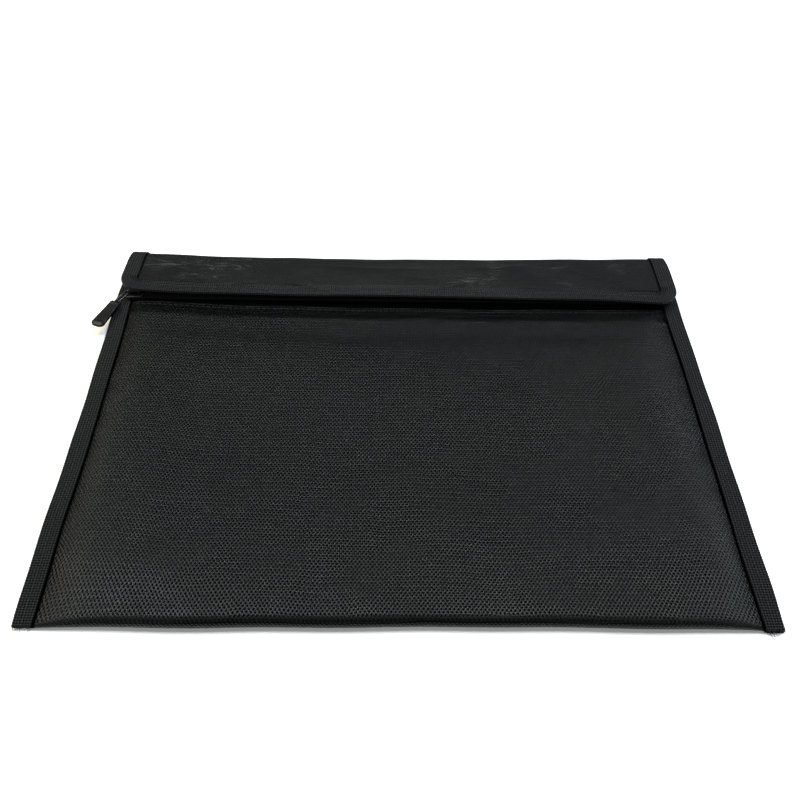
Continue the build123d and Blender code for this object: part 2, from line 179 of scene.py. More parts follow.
class Nodes:
    """Short hand for wiring a material's nodes."""

    def __init__(self, name):
        self.m = bpy.data.materials.new(name)
        self.m.use_nodes = True
        self.t = self.m.node_tree
        self.bsdf = next(n for n in self.t.nodes if n.type == "BSDF_PRINCIPLED")

    def new(self, kind, **kw):
        n = self.t.nodes.new(kind)
        for k, v in kw.items():
            setattr(n, k, v)
        return n

    def link(self, a, b):
        self.t.links.new(a, b)

    def put(self, sock, v):
        if hasattr(v, "is_output"):
            self.link(v, sock)
        else:
            sock.default_value = v

    def math(self, op, a, b=None, c=None, clamp=False):
        n = self.new("ShaderNodeMath", operation=op, use_clamp=clamp)
        self.put(n.inputs[0], a)
        if b is not None:
            self.put(n.inputs[1], b)
        if c is not None:
            self.put(n.inputs[2], c)
        return n.outputs[0]

    def attr(self, name="cloth"):
        n = self.new("ShaderNodeAttribute", attribute_type="GEOMETRY", attribute_name=name)
        s = self.new("ShaderNodeSeparateXYZ")
        self.link(n.outputs["Vector"], s.inputs[0])
        return n.outputs["Vector"], s.outputs[0], s.outputs[1], s.outputs[2]

    def obj(self):
        n = self.new("ShaderNodeTexCoord")
        s = self.new("ShaderNodeSeparateXYZ")
        self.link(n.outputs["Object"], s.inputs[0])
        return n.outputs["Object"], s.outputs[0], s.outputs[1], s.outputs[2]

    def noise(self, vec, scale, detail=2.0, rough=0.5, distortion=0.0):
        n = self.new("ShaderNodeTexNoise")
        self.link(vec, n.inputs["Vector"])
        n.inputs["Scale"].default_value = scale
        n.inputs["Detail"].default_value = detail
        n.inputs["Roughness"].default_value = rough
        n.inputs["Distortion"].default_value = distortion
        return n.outputs["Fac"]

    def range(self, v, a, b, c, d, smooth=False):
        n = self.new("ShaderNodeMapRange", clamp=True)
        if smooth:
            n.interpolation_type = "SMOOTHSTEP"
        self.put(n.inputs["Value"], v)
        for k, x in zip(("From Min", "From Max", "To Min", "To Max"), (a, b, c, d)):
            self.put(n.inputs[k], x)
        return n.outputs[0]

    def mix(self, fac, a, b):
        n = self.new("ShaderNodeMix", data_type="RGBA")
        self.put(n.inputs["Factor"], fac)
        for s, v in ((n.inputs["A"], a), (n.inputs["B"], b)):
            pass
        ia = [i for i in n.inputs if i.name == "A" and i.type == "RGBA"][0]
        ib = [i for i in n.inputs if i.name == "B" and i.type == "RGBA"][0]
        self.put(ia, a if hasattr(a, "is_output") else (*a, 1.0))
        self.put(ib, b if hasattr(b, "is_output") else (*b, 1.0))
        return [o for o in n.outputs if o.type == "RGBA"][0]

    def bump(self, height, distance, strength=1.0, under=None):
        n = self.new("ShaderNodeBump")
        n.inputs["Strength"].default_value = strength
        n.inputs["Distance"].default_value = distance
        self.link(height, n.inputs["Height"])
        if under is not None:
            self.link(under, n.inputs["Normal"])
        return n.outputs[0]

    def weave(self, u, v, pu, pv, twist=0.35):
        """Height 0..1 of a plain weave with yarns pu apart along u and pv apart along v."""
        su = self.math("SINE", self.math("MULTIPLY", u, math.pi / pu))
        sv = self.math("SINE", self.math("MULTIPLY", v, math.pi / pv))
        au, av = self.math("ABSOLUTE", su), self.math("ABSOLUTE", sv)
        gu, gv = self.math("SIGN", su), self.math("SIGN", sv)
        warp = self.math("MULTIPLY_ADD", self.math("MULTIPLY", gu, sv), twist, au)
        weft = self.math("MULTIPLY_ADD", self.math("MULTIPLY", gv, su), -twist, av)
        h = self.math("MAXIMUM", warp, weft)
        return self.range(h, 0.2, 1.0 + twist, 0.0, 1.0), self.math("MULTIPLY", su, sv)

    def done(self, color, rough, spec=0.5, normal=None, metallic=0.0, sheen=0.0, sheen_rough=0.5, coat=0.0,
             coat_rough=0.3):
        b = self.bsdf.inputs
        self.put(b["Base Color"], color if hasattr(color, "is_output") else (*color, 1.0))
        self.put(b["Roughness"], rough)
        b["Specular IOR Level"].default_value = spec
        self.put(b["Metallic"], metallic)
        b["Sheen Weight"].default_value = sheen
        b["Sheen Roughness"].default_value = sheen_rough
        b["Coat Weight"].default_value = coat
        b["Coat Roughness"].default_value = coat_rough
        if normal is not None:
            self.link(normal, b["Normal"])
        return self.m


def satin(m, u, v, pu, pv, sharp=0.29):
    """How deep the binding points of a four-harness weave lie, from their first harmonics.

    pu and pv are the yarn spacings; four yarns each way make one repeat. Every other binding point
    sits a little out of line, which gives the cloth its faint zigzag.
    """
    total = None
    x, y = m.math("MULTIPLY", u, 2 * math.pi / (4 * pu)), m.math("MULTIPLY", v, 2 * math.pi / (4 * pv))
    points = ((0.0, 0.0, 1.0), (0.5, 0.5, 0.84), (0.5, 0.0, 0.10), (0.25, 0.27, 0.14), (0.75, 0.73, 0.14))
    for n, k in ((1, 0), (0, 1), (1, 1), (1, -1), (1, 2), (1, -2), (2, 0), (0, 2), (2, 1), (2, -1), (2, 2), (2, -2), (1, 3), (1, -3)):
        re = sum(w * math.cos(-2 * math.pi * (n * px + k * py)) for px, py, w in points)
        im = sum(w * math.sin(-2 * math.pi * (n * px + k * py)) for px, py, w in points)
        f2 = (n / (4 * pu)) ** 2 + (k / (4 * pv)) ** 2
        amp = math.hypot(re, im) * math.exp(-2 * math.pi ** 2 * (sharp * MM) ** 2 * f2)
        if amp < 0.05:
            continue
        ph = math.atan2(im, re)
        th = m.math("MULTIPLY_ADD", x, float(n), m.math("MULTIPLY_ADD", y, float(k), ph))
        total = m.math("MULTIPLY_ADD", m.math("COSINE", th), amp, total if total is not None else 0.0)
    return total


def glass_cloth(name, scuff=0.0, tone=1.0, relief=1.0, spec=0.225, shade_in_pits=0.95, rough0=0.27, crumple=0.16):
    """Black silicone-coated glass cloth: coarse satin weave under a thin satin coat."""
    m = Nodes(name)
    vec, u, v, w = m.attr()
    # the yarns run slightly out of true
    wob = m.math("SUBTRACT", m.noise(vec, 22.0, 2.0), 0.5)
    wob2 = m.math("SUBTRACT", m.noise(vec, 31.0, 2.0, 0.5, 0.4), 0.5)
    u2 = m.math("MULTIPLY_ADD", wob, 0.0030, u)
    v2 = m.math("MULTIPLY_ADD", wob2, 0.0040, v)
    raw = satin(m, u2, v2, 0.532 * MM, 0.775 * MM)
    # w is the painted shade mask; it spreads the binding points' painted shade: a little darkens the weave, 1 leaves
    # only painted shadow
    pit_shade = m.range(m.math("MULTIPLY_ADD", w, 3.3, raw), -0.43, 1.93, 0.0, 1.0)
    h = m.range(raw, 3.01, -1.12, 0.0, 1.0)
    rib = m.math("SINE", m.math("MULTIPLY", u2, 2 * math.pi / (0.532 * MM)))
    patch = m.noise(vec, 34.0, 3.0, 0.55)
    fill = m.noise(vec, 900.0, 2.0, 0.6)
    big = m.noise(vec, 9.0, 3.0, 0.5)
    # the coat fills the weave more in some places
    hh = m.math("MULTIPLY", h, m.range(patch, 0.3, 0.7, 0.7, 1.15))
    hh = m.math("MULTIPLY_ADD", fill, 0.16, m.math("MULTIPLY_ADD", rib, 0.05, hh))
    crease = m.noise(vec, 48.0, 4.0, 0.62, 0.6)
    n1 = m.bump(crease, 0.0016, crumple)
    n2 = m.bump(hh, 0.00080 * relief, 1.0, n1)
    # painted shade: the cloth is darker down at the binding points, where the weave lies low
    dark = tuple(tone * x for x in (0.0008, 0.0009, 0.0010))
    lite = tuple(tone * x for x in (0.0054, 0.0057, 0.0060))
    warm = tuple(tone * x for x in (0.0060, 0.0056, 0.0051))
    col = m.mix(m.range(h, 0.25, 0.85, 0.0, 1.0), dark, lite)
    col = m.mix(m.range(big, 0.4, 0.65, 0.0, 0.55), col, warm)
    # pale dust on the tops of the yarns
    dust = m.math("MULTIPLY", m.range(m.noise(vec, 120.0, 5.0, 0.7), 0.56, 0.76, 0.0, 0.10),
                  m.range(h, 0.6, 1.0, 0.0, 1.0))
    col = m.mix(dust, col, (0.10, 0.10, 0.10))
    if scuff:
        n = m.new("ShaderNodeTexNoise")
        mp = m.new("ShaderNodeMapping")
        m.link(vec, mp.inputs["Vector"])
        mp.inputs["Scale"].default_value = (60.0, 260.0, 60.0)
        mp.inputs["Rotation"].default_value = (0, 0, 0.5)
        m.link(mp.outputs[0], n.inputs["Vector"])
        n.inputs["Scale"].default_value = 1.0
        n.inputs["Detail"].default_value = 6.0
        n.inputs["Roughness"].default_value = 0.7
        n.inputs["Distortion"].default_value = 1.4
        rub = m.math("MULTIPLY", m.range(n.outputs["Fac"], 0.54, 0.68, 0.0, 1.0),
                     m.range(m.noise(vec, 21.0, 1.0), 0.50, 0.66, 0.0, scuff))
        col = m.mix(rub, col, (0.07, 0.07, 0.07))
    # specks of lint
    vor = m.new("ShaderNodeTexVoronoi")
    m.link(vec, vor.inputs["Vector"])
    vor.inputs["Scale"].default_value = 52.0
    cell = m.new("ShaderNodeSeparateXYZ")
    m.link(vor.outputs["Color"], cell.inputs[0])
    few = m.math("GREATER_THAN", cell.outputs[0], 0.88)
    size = m.math("MULTIPLY", cell.outputs[1], 0.016)
    dot = m.math("LESS_THAN", vor.outputs["Distance"], m.math("ADD", size, 0.006))
    speck = m.math("MULTIPLY", few, dot)
    col = m.mix(m.math("MULTIPLY", speck, 0.75), col, (0.4, 0.4, 0.4))
    # painted shade: the binding points, the groove along a seam, the step behind the hem and the underside of the roll
    # are painted near-black and made metallic, so they neither scatter nor shine
    painted_hollow_shade = m.math("MAXIMUM", m.math("MULTIPLY", pit_shade, shade_in_pits), m.math("MULTIPLY_ADD", w, 4.0, -3.05))
    col = m.mix(painted_hollow_shade, col, (0.0006, 0.0006, 0.0007))
    r0 = rough0
    rough = m.range(patch, 0.3, 0.7, r0 - 0.05, r0 + 0.07)
    rough = m.math("ADD", rough, m.range(h, 0.0, 1.0, 0.10, -0.02))
    return m.done(col, rough, spec=spec, normal=n2, metallic=painted_hollow_shade)


def webbing(name, tone=1.0, pitch_s=1.45):
    """Black woven binding tape: ribs across, yarns over them like bricks."""
    m = Nodes(name)
    vec, s, o, w = m.attr()
    h, over = m.weave(s, o, pitch_s * MM, 1.55 * MM, 0.5)
    fine = m.new("ShaderNodeTexNoise")
    mp = m.new("ShaderNodeMapping")
    m.link(vec, mp.inputs["Vector"])
    mp.inputs["Scale"].default_value = (900.0, 4200.0, 900.0)
    m.link(mp.outputs[0], fine.inputs["Vector"])
    fine.inputs["Scale"].default_value = 1.0
    fine.inputs["Detail"].default_value = 2.0
    hh = m.math("MULTIPLY_ADD", fine.outputs["Fac"], 0.3, h)
    n = m.bump(hh, 0.00046, 1.0)
    # painted shade: the colour is darker down between the yarns
    lo = tuple(tone * x for x in (0.0007, 0.0007, 0.0008))
    hi = tuple(tone * x for x in (0.0100, 0.0102, 0.0110))
    col = m.mix(m.range(h, 0.25, 0.95, 0.0, 1.0), lo, hi)
    fuzz = m.math("MULTIPLY", m.range(m.noise(vec, 500.0, 4.0, 0.7), 0.55, 0.75, 0.0, 0.16),
                  m.range(h, 0.6, 1.0, 0.0, 1.0))
    col = m.mix(fuzz, col, (0.07, 0.07, 0.075))
    rough = m.range(h, 0.0, 1.0, 0.62, 0.42)
    # painted shade: the gaps between the yarns get a near-black colour and are made metallic, so they neither scatter
    # nor shine
    gap = m.range(h, 0.58, 0.22, 0.0, 0.97)
    return m.done(col, rough, spec=0.165, normal=n, metallic=gap)


def zip_tape_mat():
    m = Nodes("zip_tape_knit")
    vec, s, o, w = m.attr()
    h, over = m.weave(m.math("ADD", s, m.math("MULTIPLY", o, 0.5)), o, 0.55 * MM, 0.6 * MM, 0.5)
    n = m.bump(h, 0.00010, 0.8)
    # painted shade: the colour is darker where the knit lies low
    col = m.mix(h, (0.0005, 0.0006, 0.0007), (0.0016, 0.0018, 0.0023))
    return m.done(col, m.range(h, 0.0, 1.0, 0.9, 0.7), spec=0.01, normal=n)


def lining_mat():
    m = Nodes("lining_foil_cloth")
    vec, u, v, w = m.attr()
    h, over = m.weave(u, v, 0.9 * MM, 0.9 * MM, 0.3)
    crk = m.noise(vec, 90.0, 5.0, 0.6, 0.8)
    n1 = m.bump(crk, 0.0010, 0.25)
    n2 = m.bump(h, 0.00006, 0.7, n1)
    col = m.mix(m.range(crk, 0.35, 0.65, 0.0, 1.0), (0.075, 0.076, 0.079), (0.15, 0.15, 0.155))
    return m.done(col, m.range(crk, 0.3, 0.7, 0.38, 0.55), spec=0.5, normal=n2, metallic=0.55)


def thread_mat():
    m = Nodes("sewing_thread")
    vec, x, y, z = m.obj()
    w = m.new("ShaderNodeTexWave", wave_type="BANDS", bands_direction="DIAGONAL")
    m.link(vec, w.inputs["Vector"])
    w.inputs["Scale"].default_value = 900.0
    n = m.bump(w.outputs["Fac"], 0.00008, 0.8)
    col = m.mix(w.outputs["Fac"], (0.0020, 0.0020, 0.0024), (0.0085, 0.0085, 0.0094))
    return m.done(col, m.range(w.outputs["Fac"], 0.0, 1.0, 0.65, 0.5), spec=0.32, normal=n, sheen=0.03)


def moulded(name, base, rough, spec=0.5, grain=0.00004, scale=900.0, coat=0.0, wear=(0.05, 0.05, 0.052), wear_amt=0.25,
            metallic=0.0):
    """Moulded rubber, nylon or enamelled casting, with a fine grain and rubbed high spots."""
    m = Nodes(name)
    vec, x, y, z = m.obj()
    g = m.noise(vec, scale, 3.0, 0.6)
    big = m.noise(vec, 160.0, 3.0, 0.5)
    n = m.bump(g, grain, 0.6)
    geo = m.new("ShaderNodeNewGeometry")
    edge = m.range(geo.outputs["Pointiness"], 0.52, 0.60, 0.0, wear_amt)
    col = m.mix(m.range(big, 0.3, 0.7, 0.0, 1.0), tuple(0.75 * b for b in base), tuple(1.25 * b for b in base))
    col = m.mix(edge, col, wear)
    return m.done(col, m.range(big, 0.3, 0.7, rough - 0.05, rough + 0.07), spec=spec, normal=n, coat=coat,
                  coat_rough=0.25, metallic=metallic)


M_CLOTH = glass_cloth("glass_cloth_panel")
M_FLAP = glass_cloth("glass_cloth_flap", scuff=0.8, tone=0.78, relief=0.46, spec=0.165, shade_in_pits=0.5, rough0=0.36, crumple=0.42)
M_UNDER_PAINTED_SHADE = glass_cloth("glass_cloth_under_painted_shade", tone=0.45, spec=0.03, shade_in_pits=0.8)
M_WEB = webbing("binding_webbing")
M_TAPE = zip_tape_mat()
M_LINING = lining_mat()
M_THREAD = thread_mat()
M_COIL = moulded("coil_nylon", (0.0007, 0.0007, 0.0008), 0.55, spec=0.03, grain=0.00002)
M_SLIDER = moulded("slider_enamel", (0.0016, 0.0016, 0.0018), 0.36, spec=0.22, grain=0.00002, scale=1500.0,
                   wear=(0.12, 0.12, 0.12), wear_amt=0.35)
M_LINK = moulded("link_wire_enamel", (0.007, 0.0075, 0.008), 0.26, spec=0.42, grain=0.00001, scale=1500.0,
                 wear=(0.12, 0.12, 0.12), wear_amt=0.3)
M_GRIP = moulded("grip_rubber", (0.0022, 0.0022, 0.0024), 0.42, spec=0.18, grain=0.00003, scale=1400.0,
                 wear=(0.06, 0.06, 0.06), wear_amt=0.3)

# ------------------------------------------------------------------ shape of the pouch
X_BIND = 179.3            # inner edge of the side bindings
W_BIND = 10.7
T = 0.7                   # cloth
TW = 0.75                 # webbing leaf
Y_SPLIT = 128.0           # where the back panel's cloth hands over to the bending piece
FOLD_Y, FOLD_Z, FOLD_R = 134.75, 5.25, 5.25


def hem_y(x):
    """Front edge of the pouch's mouth, a little bowed and wavy."""
    a = np.abs(x) / 175.0
    return 87.0 + np.where(x < 0, 5.2, 1.9) * a ** 2 + 0.35 * np.sin(x / 13.0 + 0.6) + 0.3 * np.sin(x / 29.0 + 2.0)


def seam_z(y, side=1.0):
    """Underside of a side binding: on the table for most of its length, lifted by the zip."""
    lift = 1.45 * np.exp(-((y - 97.0) / 34.0) ** 2)
    wave = 0.22 * np.sin(y / 21.0 + side) + 0.16 * np.sin(y / 9.3 + 2.2 * side)
    return 0.55 + lift + wave * sstep((y + 140.0) / 30.0)


def inner_edge(y, side):
    """Distance from the middle to a side binding's inner edge; it isn't perfectly straight."""
    return X_BIND + 0.35 * np.sin(y / 37.0 + 1.3 * side) + 0.22 * np.sin(y / 15.0 - side)


def outer_edge(y, side):
    """Distance from the middle to a side binding's outer edge."""
    end = 1.1 * np.exp(-(y + 143.0) / 16.0)
    return 189.9 - end + 0.25 * np.sin(y / 33.0 + side) + 0.12 * np.sin(y / 9.0 + 2.0 * side)


def crown(x, y):
    """Height of the empty pouch's front panel away from its seams."""
    v = (y + 140.0) / 227.0
    base = 10.4 - 2.3 * sstep((v - 0.02) / 0.45) + 0.5 * sstep((v - 0.55) / 0.3)
    soft = 0.42 * np.sin(x / 47.0 + 0.7) * np.sin(y / 51.0 + 1.1) + 0.30 * np.sin(x / 27.0 + y / 63.0 + 2.0) \
        + 0.16 * np.sin(y / 17.0 + x / 83.0) + 0.12 * np.sin(x / 11.5 + 0.5) * np.cos(y / 39.0)
    return base + soft * sstep((y + 140.0) / 24.0)


def front_z(x, y):
    """Top of the front panel."""
    side = np.sign(x)
    d = inner_edge(y, side) - np.abs(x)
    zs = seam_z(y, side) + TW + 2 * T + 0.35
    lam = 11.0 + 3.0 * np.sin(y / 43.0 + side) + 7.0 * sstep((-y - 95.0) / 45.0)
    g = np.where(d > 0, 1 - np.exp(-np.maximum(d, 0) / lam), 0.0)
    z = zs + (crown(x, y) - zs) * g
    z = z - 0.95 * np.exp(-((d - 0.6) / 0.8) ** 2)               # the groove beside the binding
    # pulls that run off the seams
    pull = 0.28 * np.sin(y / 5.2 + 3.0 * np.sin(y / 31.0)) * np.exp(-np.maximum(d, 0) / 7.0) * sstep(d / 2.0)
    z = z + pull
    # the panel dips to the zip
    e = hem_y(x) - y
    hem_top = 6.45 + 0.0 * x
    zh = np.where(d > 0, hem_top - (hem_top - zs) * np.exp(-np.maximum(d, 0) / 3.0), zs)
    k = np.exp(-np.maximum(e, 0) / 8.5)
    z = z * (1 - k) + zh * k
    # it lies low enough there for the pull to slide over it
    cap = 7.30 + 4.0 * sstep((e - 25.0) / 26.0)
    over = np.maximum(z - cap + 0.35, 0.0)
    z = z - over ** 2 / (over + 0.35)
    # the row of stitches pulls the hem down
    z = z - 0.22 * np.exp(-((e - 2.9) / 0.8) ** 2)
    # and leaves its folded edge standing a little proud
    z = z + (0.34 + 0.10 * np.sin(x / 7.0)) * np.exp(-((e - 0.9) / 0.6) ** 2)
    return z


def back_z(x, y):
    """Underside of the back panel."""
    side = np.where(x < 0, -1.0, 1.0)
    a = np.abs(x)
    top = seam_z(y, side) + TW
    flat = 0.04 + 0.10 * (1 + np.sin(x / 37.0 + 1.0) * np.sin(y / 43.0)) * 0.5
    return flat + (top - flat) * sstep((a - 158.0) / 22.0)


# columns and rows of the pouch's cloth
xs_half = np.concatenate([np.linspace(0, 150, 51), np.linspace(152, 172, 11), np.linspace(173, 176.5, 5),
                          np.linspace(177, 181.2, 22), np.linspace(182.5, 189, 5)])
XS = np.concatenate([-xs_half[:0:-1], xs_half])


def pouch_surface():
    """Outer surface of the folded sheet from the turned-in hem, over the front, to the mouth."""
    rows, arc = [], []
    x = XS
    hy = hem_y(x)
    zt = front_z(x, hy - 1.2)
    for k, dy in enumerate(np.linspace(9.5, 1.0, 6)):            # turned-in leaf
        yy = hy - dy
        rows.append(np.stack([x, yy, front_z(x, yy) - 1.55], -1))
        arc.append(-1.5 - dy)
    for a in np.linspace(-90, 90, 9):                            # nose of the hem
        r = 0.775
        yy = hy - 0.8 + 0.8 * math.cos(math.radians(a))
        rows.append(np.stack([x, yy, zt - r + r * math.sin(math.radians(a))], -1))
        arc.append(0.8 * math.radians(a) - 0.2)
    e = np.concatenate([np.linspace(1.2, 6, 11), np.linspace(6.8, 20, 14), np.linspace(22, 60, 15),
                        np.linspace(64, 200, 42)])
    zf = front_z(x, -134.5 + 0 * x)
    zb = back_z(x, -134.5 + 0 * x)
    r = (zf - zb) / 2
    nose = -141.15 + 0.3 * np.sin(x / 31.0) + 0.2 * np.sin(x / 12.0 + 1.0) - 1.1 * np.exp(-((x + 122.0) / 52.0) ** 2)
    yc = nose + r * 1.05
    y_start = hy
    for d in e:
        yy = y_start - d
        rows.append(np.stack([x, yy, front_z(x, yy)], -1))
        arc.append(d)
    y_last = rows[-1][:, 1]
    for t in np.linspace(0, 1, 10)[1:-1]:
        yy = y_last + (yc - y_last) * t
        rows.append(np.stack([x, yy, front_z(x, np.maximum(yy, -134.5)) * (1 - sstep(t)) + zf * sstep(t)], -1))
        arc.append(200 + t * 24)
    for a in np.linspace(90, 270, 25):                           # bottom fold
        yy = yc + r * 1.05 * math.cos(math.radians(a))
        rows.append(np.stack([x, yy, (zf + zb) / 2 + r * math.sin(math.radians(a))], -1))
        arc.append(224 + 5.25 * math.radians(a - 90))
    for t in np.linspace(0, 1, 60)[1:]:
        yy = yc + (Y_SPLIT - yc) * t
        rows.append(np.stack([x, yy, zb * (1 - sstep(t * 12)) + back_z(x, yy) * sstep(t * 12)], -1))
        arc.append(240.5 + 263 * t)
    p = np.stack(rows, 1)                                        # [x, row, 3]
    gap = inner_edge(p[..., 1], np.sign(p[..., 0])) - np.abs(p[..., 0])
    # painted shade mask, which the material reads from the cloth attribute's third value: the groove beside each
    # binding
    painted_shade_mask = 1000.0 * np.exp(-((gap - 0.55) / 0.75) ** 4)
    turn = (np.array(arc) - 224.0) / 5.25 * 180 / math.pi        # 0 on top of the roll, 180 under it
    # painted shade on the underside of the roll
    under = 850.0 * sstep((turn - 26.0) / 26.0) * (1 - sstep((turn - 160.0) / 60.0))
    painted_shade_mask = np.maximum(painted_shade_mask, under[None])
    # painted shade also goes on a little of the step down behind the hem
    e_ = np.array(arc)
    painted_shade_mask = np.maximum(painted_shade_mask, (560.0 * sstep((e_ - 1.4) / 0.8) * (1 - sstep((e_ - 7.0) / 6.0)))[None])
    c = np.stack([np.broadcast_to(x[:, None], p.shape[:2]), np.broadcast_to(np.array(arc)[None], p.shape[:2]),
                  painted_shade_mask], -1)
    return p, c


P, C = pouch_surface()
N = normals(P)
# normals() of this grid point inwards or outwards: make them point up on the front panel
if N[len(XS) // 2, 60, 2] < 0:
    P, C = P[::-1], C[::-1]
    N = normals(P)
inner = P - N * T
pouch = slab("pouch_cloth", P, inner, M_CLOTH, C, body="pouch", slot="glass_cloth")
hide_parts("outer_shell")
# the low side of the roll gets a darker, duller copy of the cloth: painted shade
pouch.data.materials.append(M_UNDER_PAINTED_SHADE)
for f in pouch.data.polygons:
    if f.center.y < -0.134 and f.center.z < 0.012 and f.normal.z < 0.62:
        f.material_index = 1

# ------------------------------------------------------------------ flap, from the back panel over the fold
ARC = math.pi * FOLD_R
Q_A = FOLD_Y - Y_SPLIT                 # flat start on the back panel
Q_B = Q_A + ARC                        # end of the half round


def flap_front_y(x):
    """Outline of the flap's front edge."""
    return 91.2 - 0.015 * x + 0.25 * np.sin(x / 41.0) + 0.2 * np.sin(x / 17.0 + 1.0)


HALF = 187.5
FOLD_X = np.array([-190, -184, -163, -143, -120, -102, -60, 0, 40, 62, 103, 144, 165, 178, 190], float)
FOLD_H = np.array([12.0, 12.2, 11.3, 10.3, 9.5, 9.2, 8.7, 8.6, 8.9, 9.4, 10.6, 11.3, 12.2, 12.5, 12.2], float)


def fold_top(x):
    """Height of the fold at the mouth: its bound ends stand up, its middle lies flatter."""
    f = np.linspace(-190, 190, 381)
    h = np.interp(f, FOLD_X, FOLD_H)
    k = np.exp(-(np.arange(-20, 21) / 8.0) ** 2)
    h = np.convolve(np.pad(h, 20, mode="edge"), k / k.sum(), mode="valid")
    return np.interp(x, f, h) + 0.16 * np.sin(x / 14.0) + 0.10 * np.sin(x / 6.1 + 1.0)


def flap_half_w(q):
    """Half width of the flap along q: the ends of the fold draw in a little."""
    t = q - (Q_A + ARC * 0.5)
    return HALF - 2.6 * np.exp(-(t / 8.5) ** 2)


def flap_surface(x, q):
    """Outer surface of the flap's cloth; x is across the flat cloth, q along it from Y_SPLIT."""
    x, q = np.broadcast_arrays(np.asarray(x, float), np.asarray(q, float))
    a = np.abs(x)
    side = np.where(x < 0, -1.0, 1.0)
    xx = np.where(a > 150, side * (150 + (a - 150) * (flap_half_w(q) - 150) / (HALF - 150)), x)
    edge = sstep((a - 158.0) / 26.0)
    # flat start
    t0 = np.clip(q / Q_A, 0, 1)
    zb = back_z(x, Y_SPLIT + np.minimum(q, Q_A))
    y0, z0 = Y_SPLIT + np.minimum(q, Q_A), zb
    # half round, a little out of true
    phi = np.clip((q - Q_A) / ARC, 0, 1) * math.pi - math.pi / 2
    zb1 = back_z(x, FOLD_Y + 0 * q)
    top = fold_top(x)
    r = (top - zb1) / 2
    ry = FOLD_R - 0.7 + 0.25 * np.sin(x / 46.0 + 1.0) + 0.18 * np.sin(x / 19.0) - 0.7 * edge
    y1 = FOLD_Y + ry * np.cos(phi)
    z1 = (top + zb1) / 2 + r * np.sin(phi)
    # flap
    t = np.maximum(q - Q_B, 0)
    # the front edge rests at its own height over the zip, whatever the fold does
    edge_z = 13.6 + 0.3 * np.sin(x / 52.0 + 0.5) + 0.9 * np.exp(-((x + 186.0) / 26.0) ** 2) \
        - 0.6 * np.exp(-((x - 186.0) / 26.0) ** 2)
    lift = (edge_z - top) * (0.35 * t / 43.0 + 0.65 * np.clip(t / 43.0, 0, 1.2) ** 2)
    bulge = 0.35 * np.sin(math.pi * np.clip(t / 44.0, 0, 1)) * (1 + 0.6 * np.sin(x / 38.0 + 0.5))
    wave = (0.20 * np.sin(x / 26.0 + t / 19.0) + 0.16 * np.sin(x / 12.5 - t / 11.0 + 1.0)) * sstep(t / 14.0)
    crease = 0.0
    for cx, ct, ang, ln, amp in ((-64, 32, 0.35, 17, 0.40), (-105, 30, -0.2, 12, 0.30), (-60, 22, 0.9, 12, 0.24),
                                 (96, 33, 0.1, 20, 0.30), (40, 30, -0.3, 15, 0.26), (150, 24, 0.25, 12, 0.26),
                                 (-20, 9, 0.05, 34, 0.34), (70, 7, -0.05, 30, 0.30), (-150, 12, -0.4, 14, 0.26),
                                 (128, 16, 0.5, 14, 0.22), (8, 20, 0.2, 16, 0.18)):
        du, dv = (x - cx) * math.cos(ang) + (t - ct) * math.sin(ang), -(x - cx) * math.sin(ang) + (t - ct) * math.cos(ang)
        crease = crease + amp * np.exp(-(du / ln) ** 2) * np.exp(-(dv / 1.5) ** 2)
    z2 = top + lift + bulge + wave + crease * sstep(t / 5.0)
    y2 = FOLD_Y - t
    y = np.where(q < Q_A, y0, np.where(q < Q_B, y1, y2))
    z = np.where(q < Q_A, z0, np.where(q < Q_B, z1, z2))
    return np.stack([xx, y, z], -1)


def flap_normal(x, q):
    h = 0.25
    dx = flap_surface(np.asarray(x) + h, q) - flap_surface(np.asarray(x) - h, q)
    dq = flap_surface(x, np.asarray(q) + h) - flap_surface(x, np.asarray(q) - h)
    n = np.cross(dq, dx)
    return n / np.linalg.norm(n, axis=-1, keepdims=True)


CORNER = 15.0


def flap_end(x, inset, radius):
    """q of the flap's front outline, inset from it, with rounded corners."""
    q = Q_B + FOLD_Y - (flap_front_y(x) + inset)
    a = np.abs(x) - (HALF - inset - radius)
    return np.where(a > 0, q - radius + np.sqrt(np.maximum(radius ** 2 - a ** 2, 0)), q)


def flap_sheet(name, mat, inset, radius, up, thick, q0, half, slot):
    xh = np.concatenate([np.linspace(0, 150, 76), np.linspace(151.5, 174, 16), np.linspace(174.8, 178.2, 11), np.linspace(179, half, 8)])
    x = np.concatenate([-xh[:0:-1], xh])
    rows = []
    n_flat, n_arc, n_top = 5, 22, 44
    qe = flap_end(x, inset, radius)
    for q in np.linspace(q0, Q_A, n_flat, endpoint=False):
        rows.append(np.full_like(x, q))
    for q in np.linspace(Q_A, Q_B, n_arc, endpoint=False):
        rows.append(np.full_like(x, q))
    for t in np.linspace(0, 1, n_top):
        rows.append(Q_B + (qe - Q_B) * t)
    q = np.stack(rows, 1)
    xg = np.broadcast_to(x[:, None], q.shape)
    n = flap_normal(xg, q)
    p = flap_surface(xg, q) + n * up
    # painted shade mask, the cloth attribute's third value: along the inner edge of the binding's side legs and just
    # ahead of its front leg
    beside = 1000.0 * np.exp(-((HALF - W_BIND - 0.45 - np.abs(xg)) / 0.62) ** 4)
    ahead = Q_B + FOLD_Y - flap_front_y(xg) - W_BIND - q
    shade = np.where(ahead > 2.0, beside, 0.0) + 520.0 * np.exp(-((ahead - 0.4) / 0.9) ** 4) * (np.abs(xg) < HALF - W_BIND - 1.5)
    c = np.stack([xg, 505 + q, np.minimum(shade, 1000.0)], -1)
    # rows run so that normals() of the grid agree with n
    if (normals(p)[len(x) // 2, -3] @ n[len(x) // 2, -3]) < 0:
        p, n, c = p[::-1], n[::-1], c[::-1]
    ob = slab(name, p, p - n * thick, mat, c, slot=slot)
    return ob


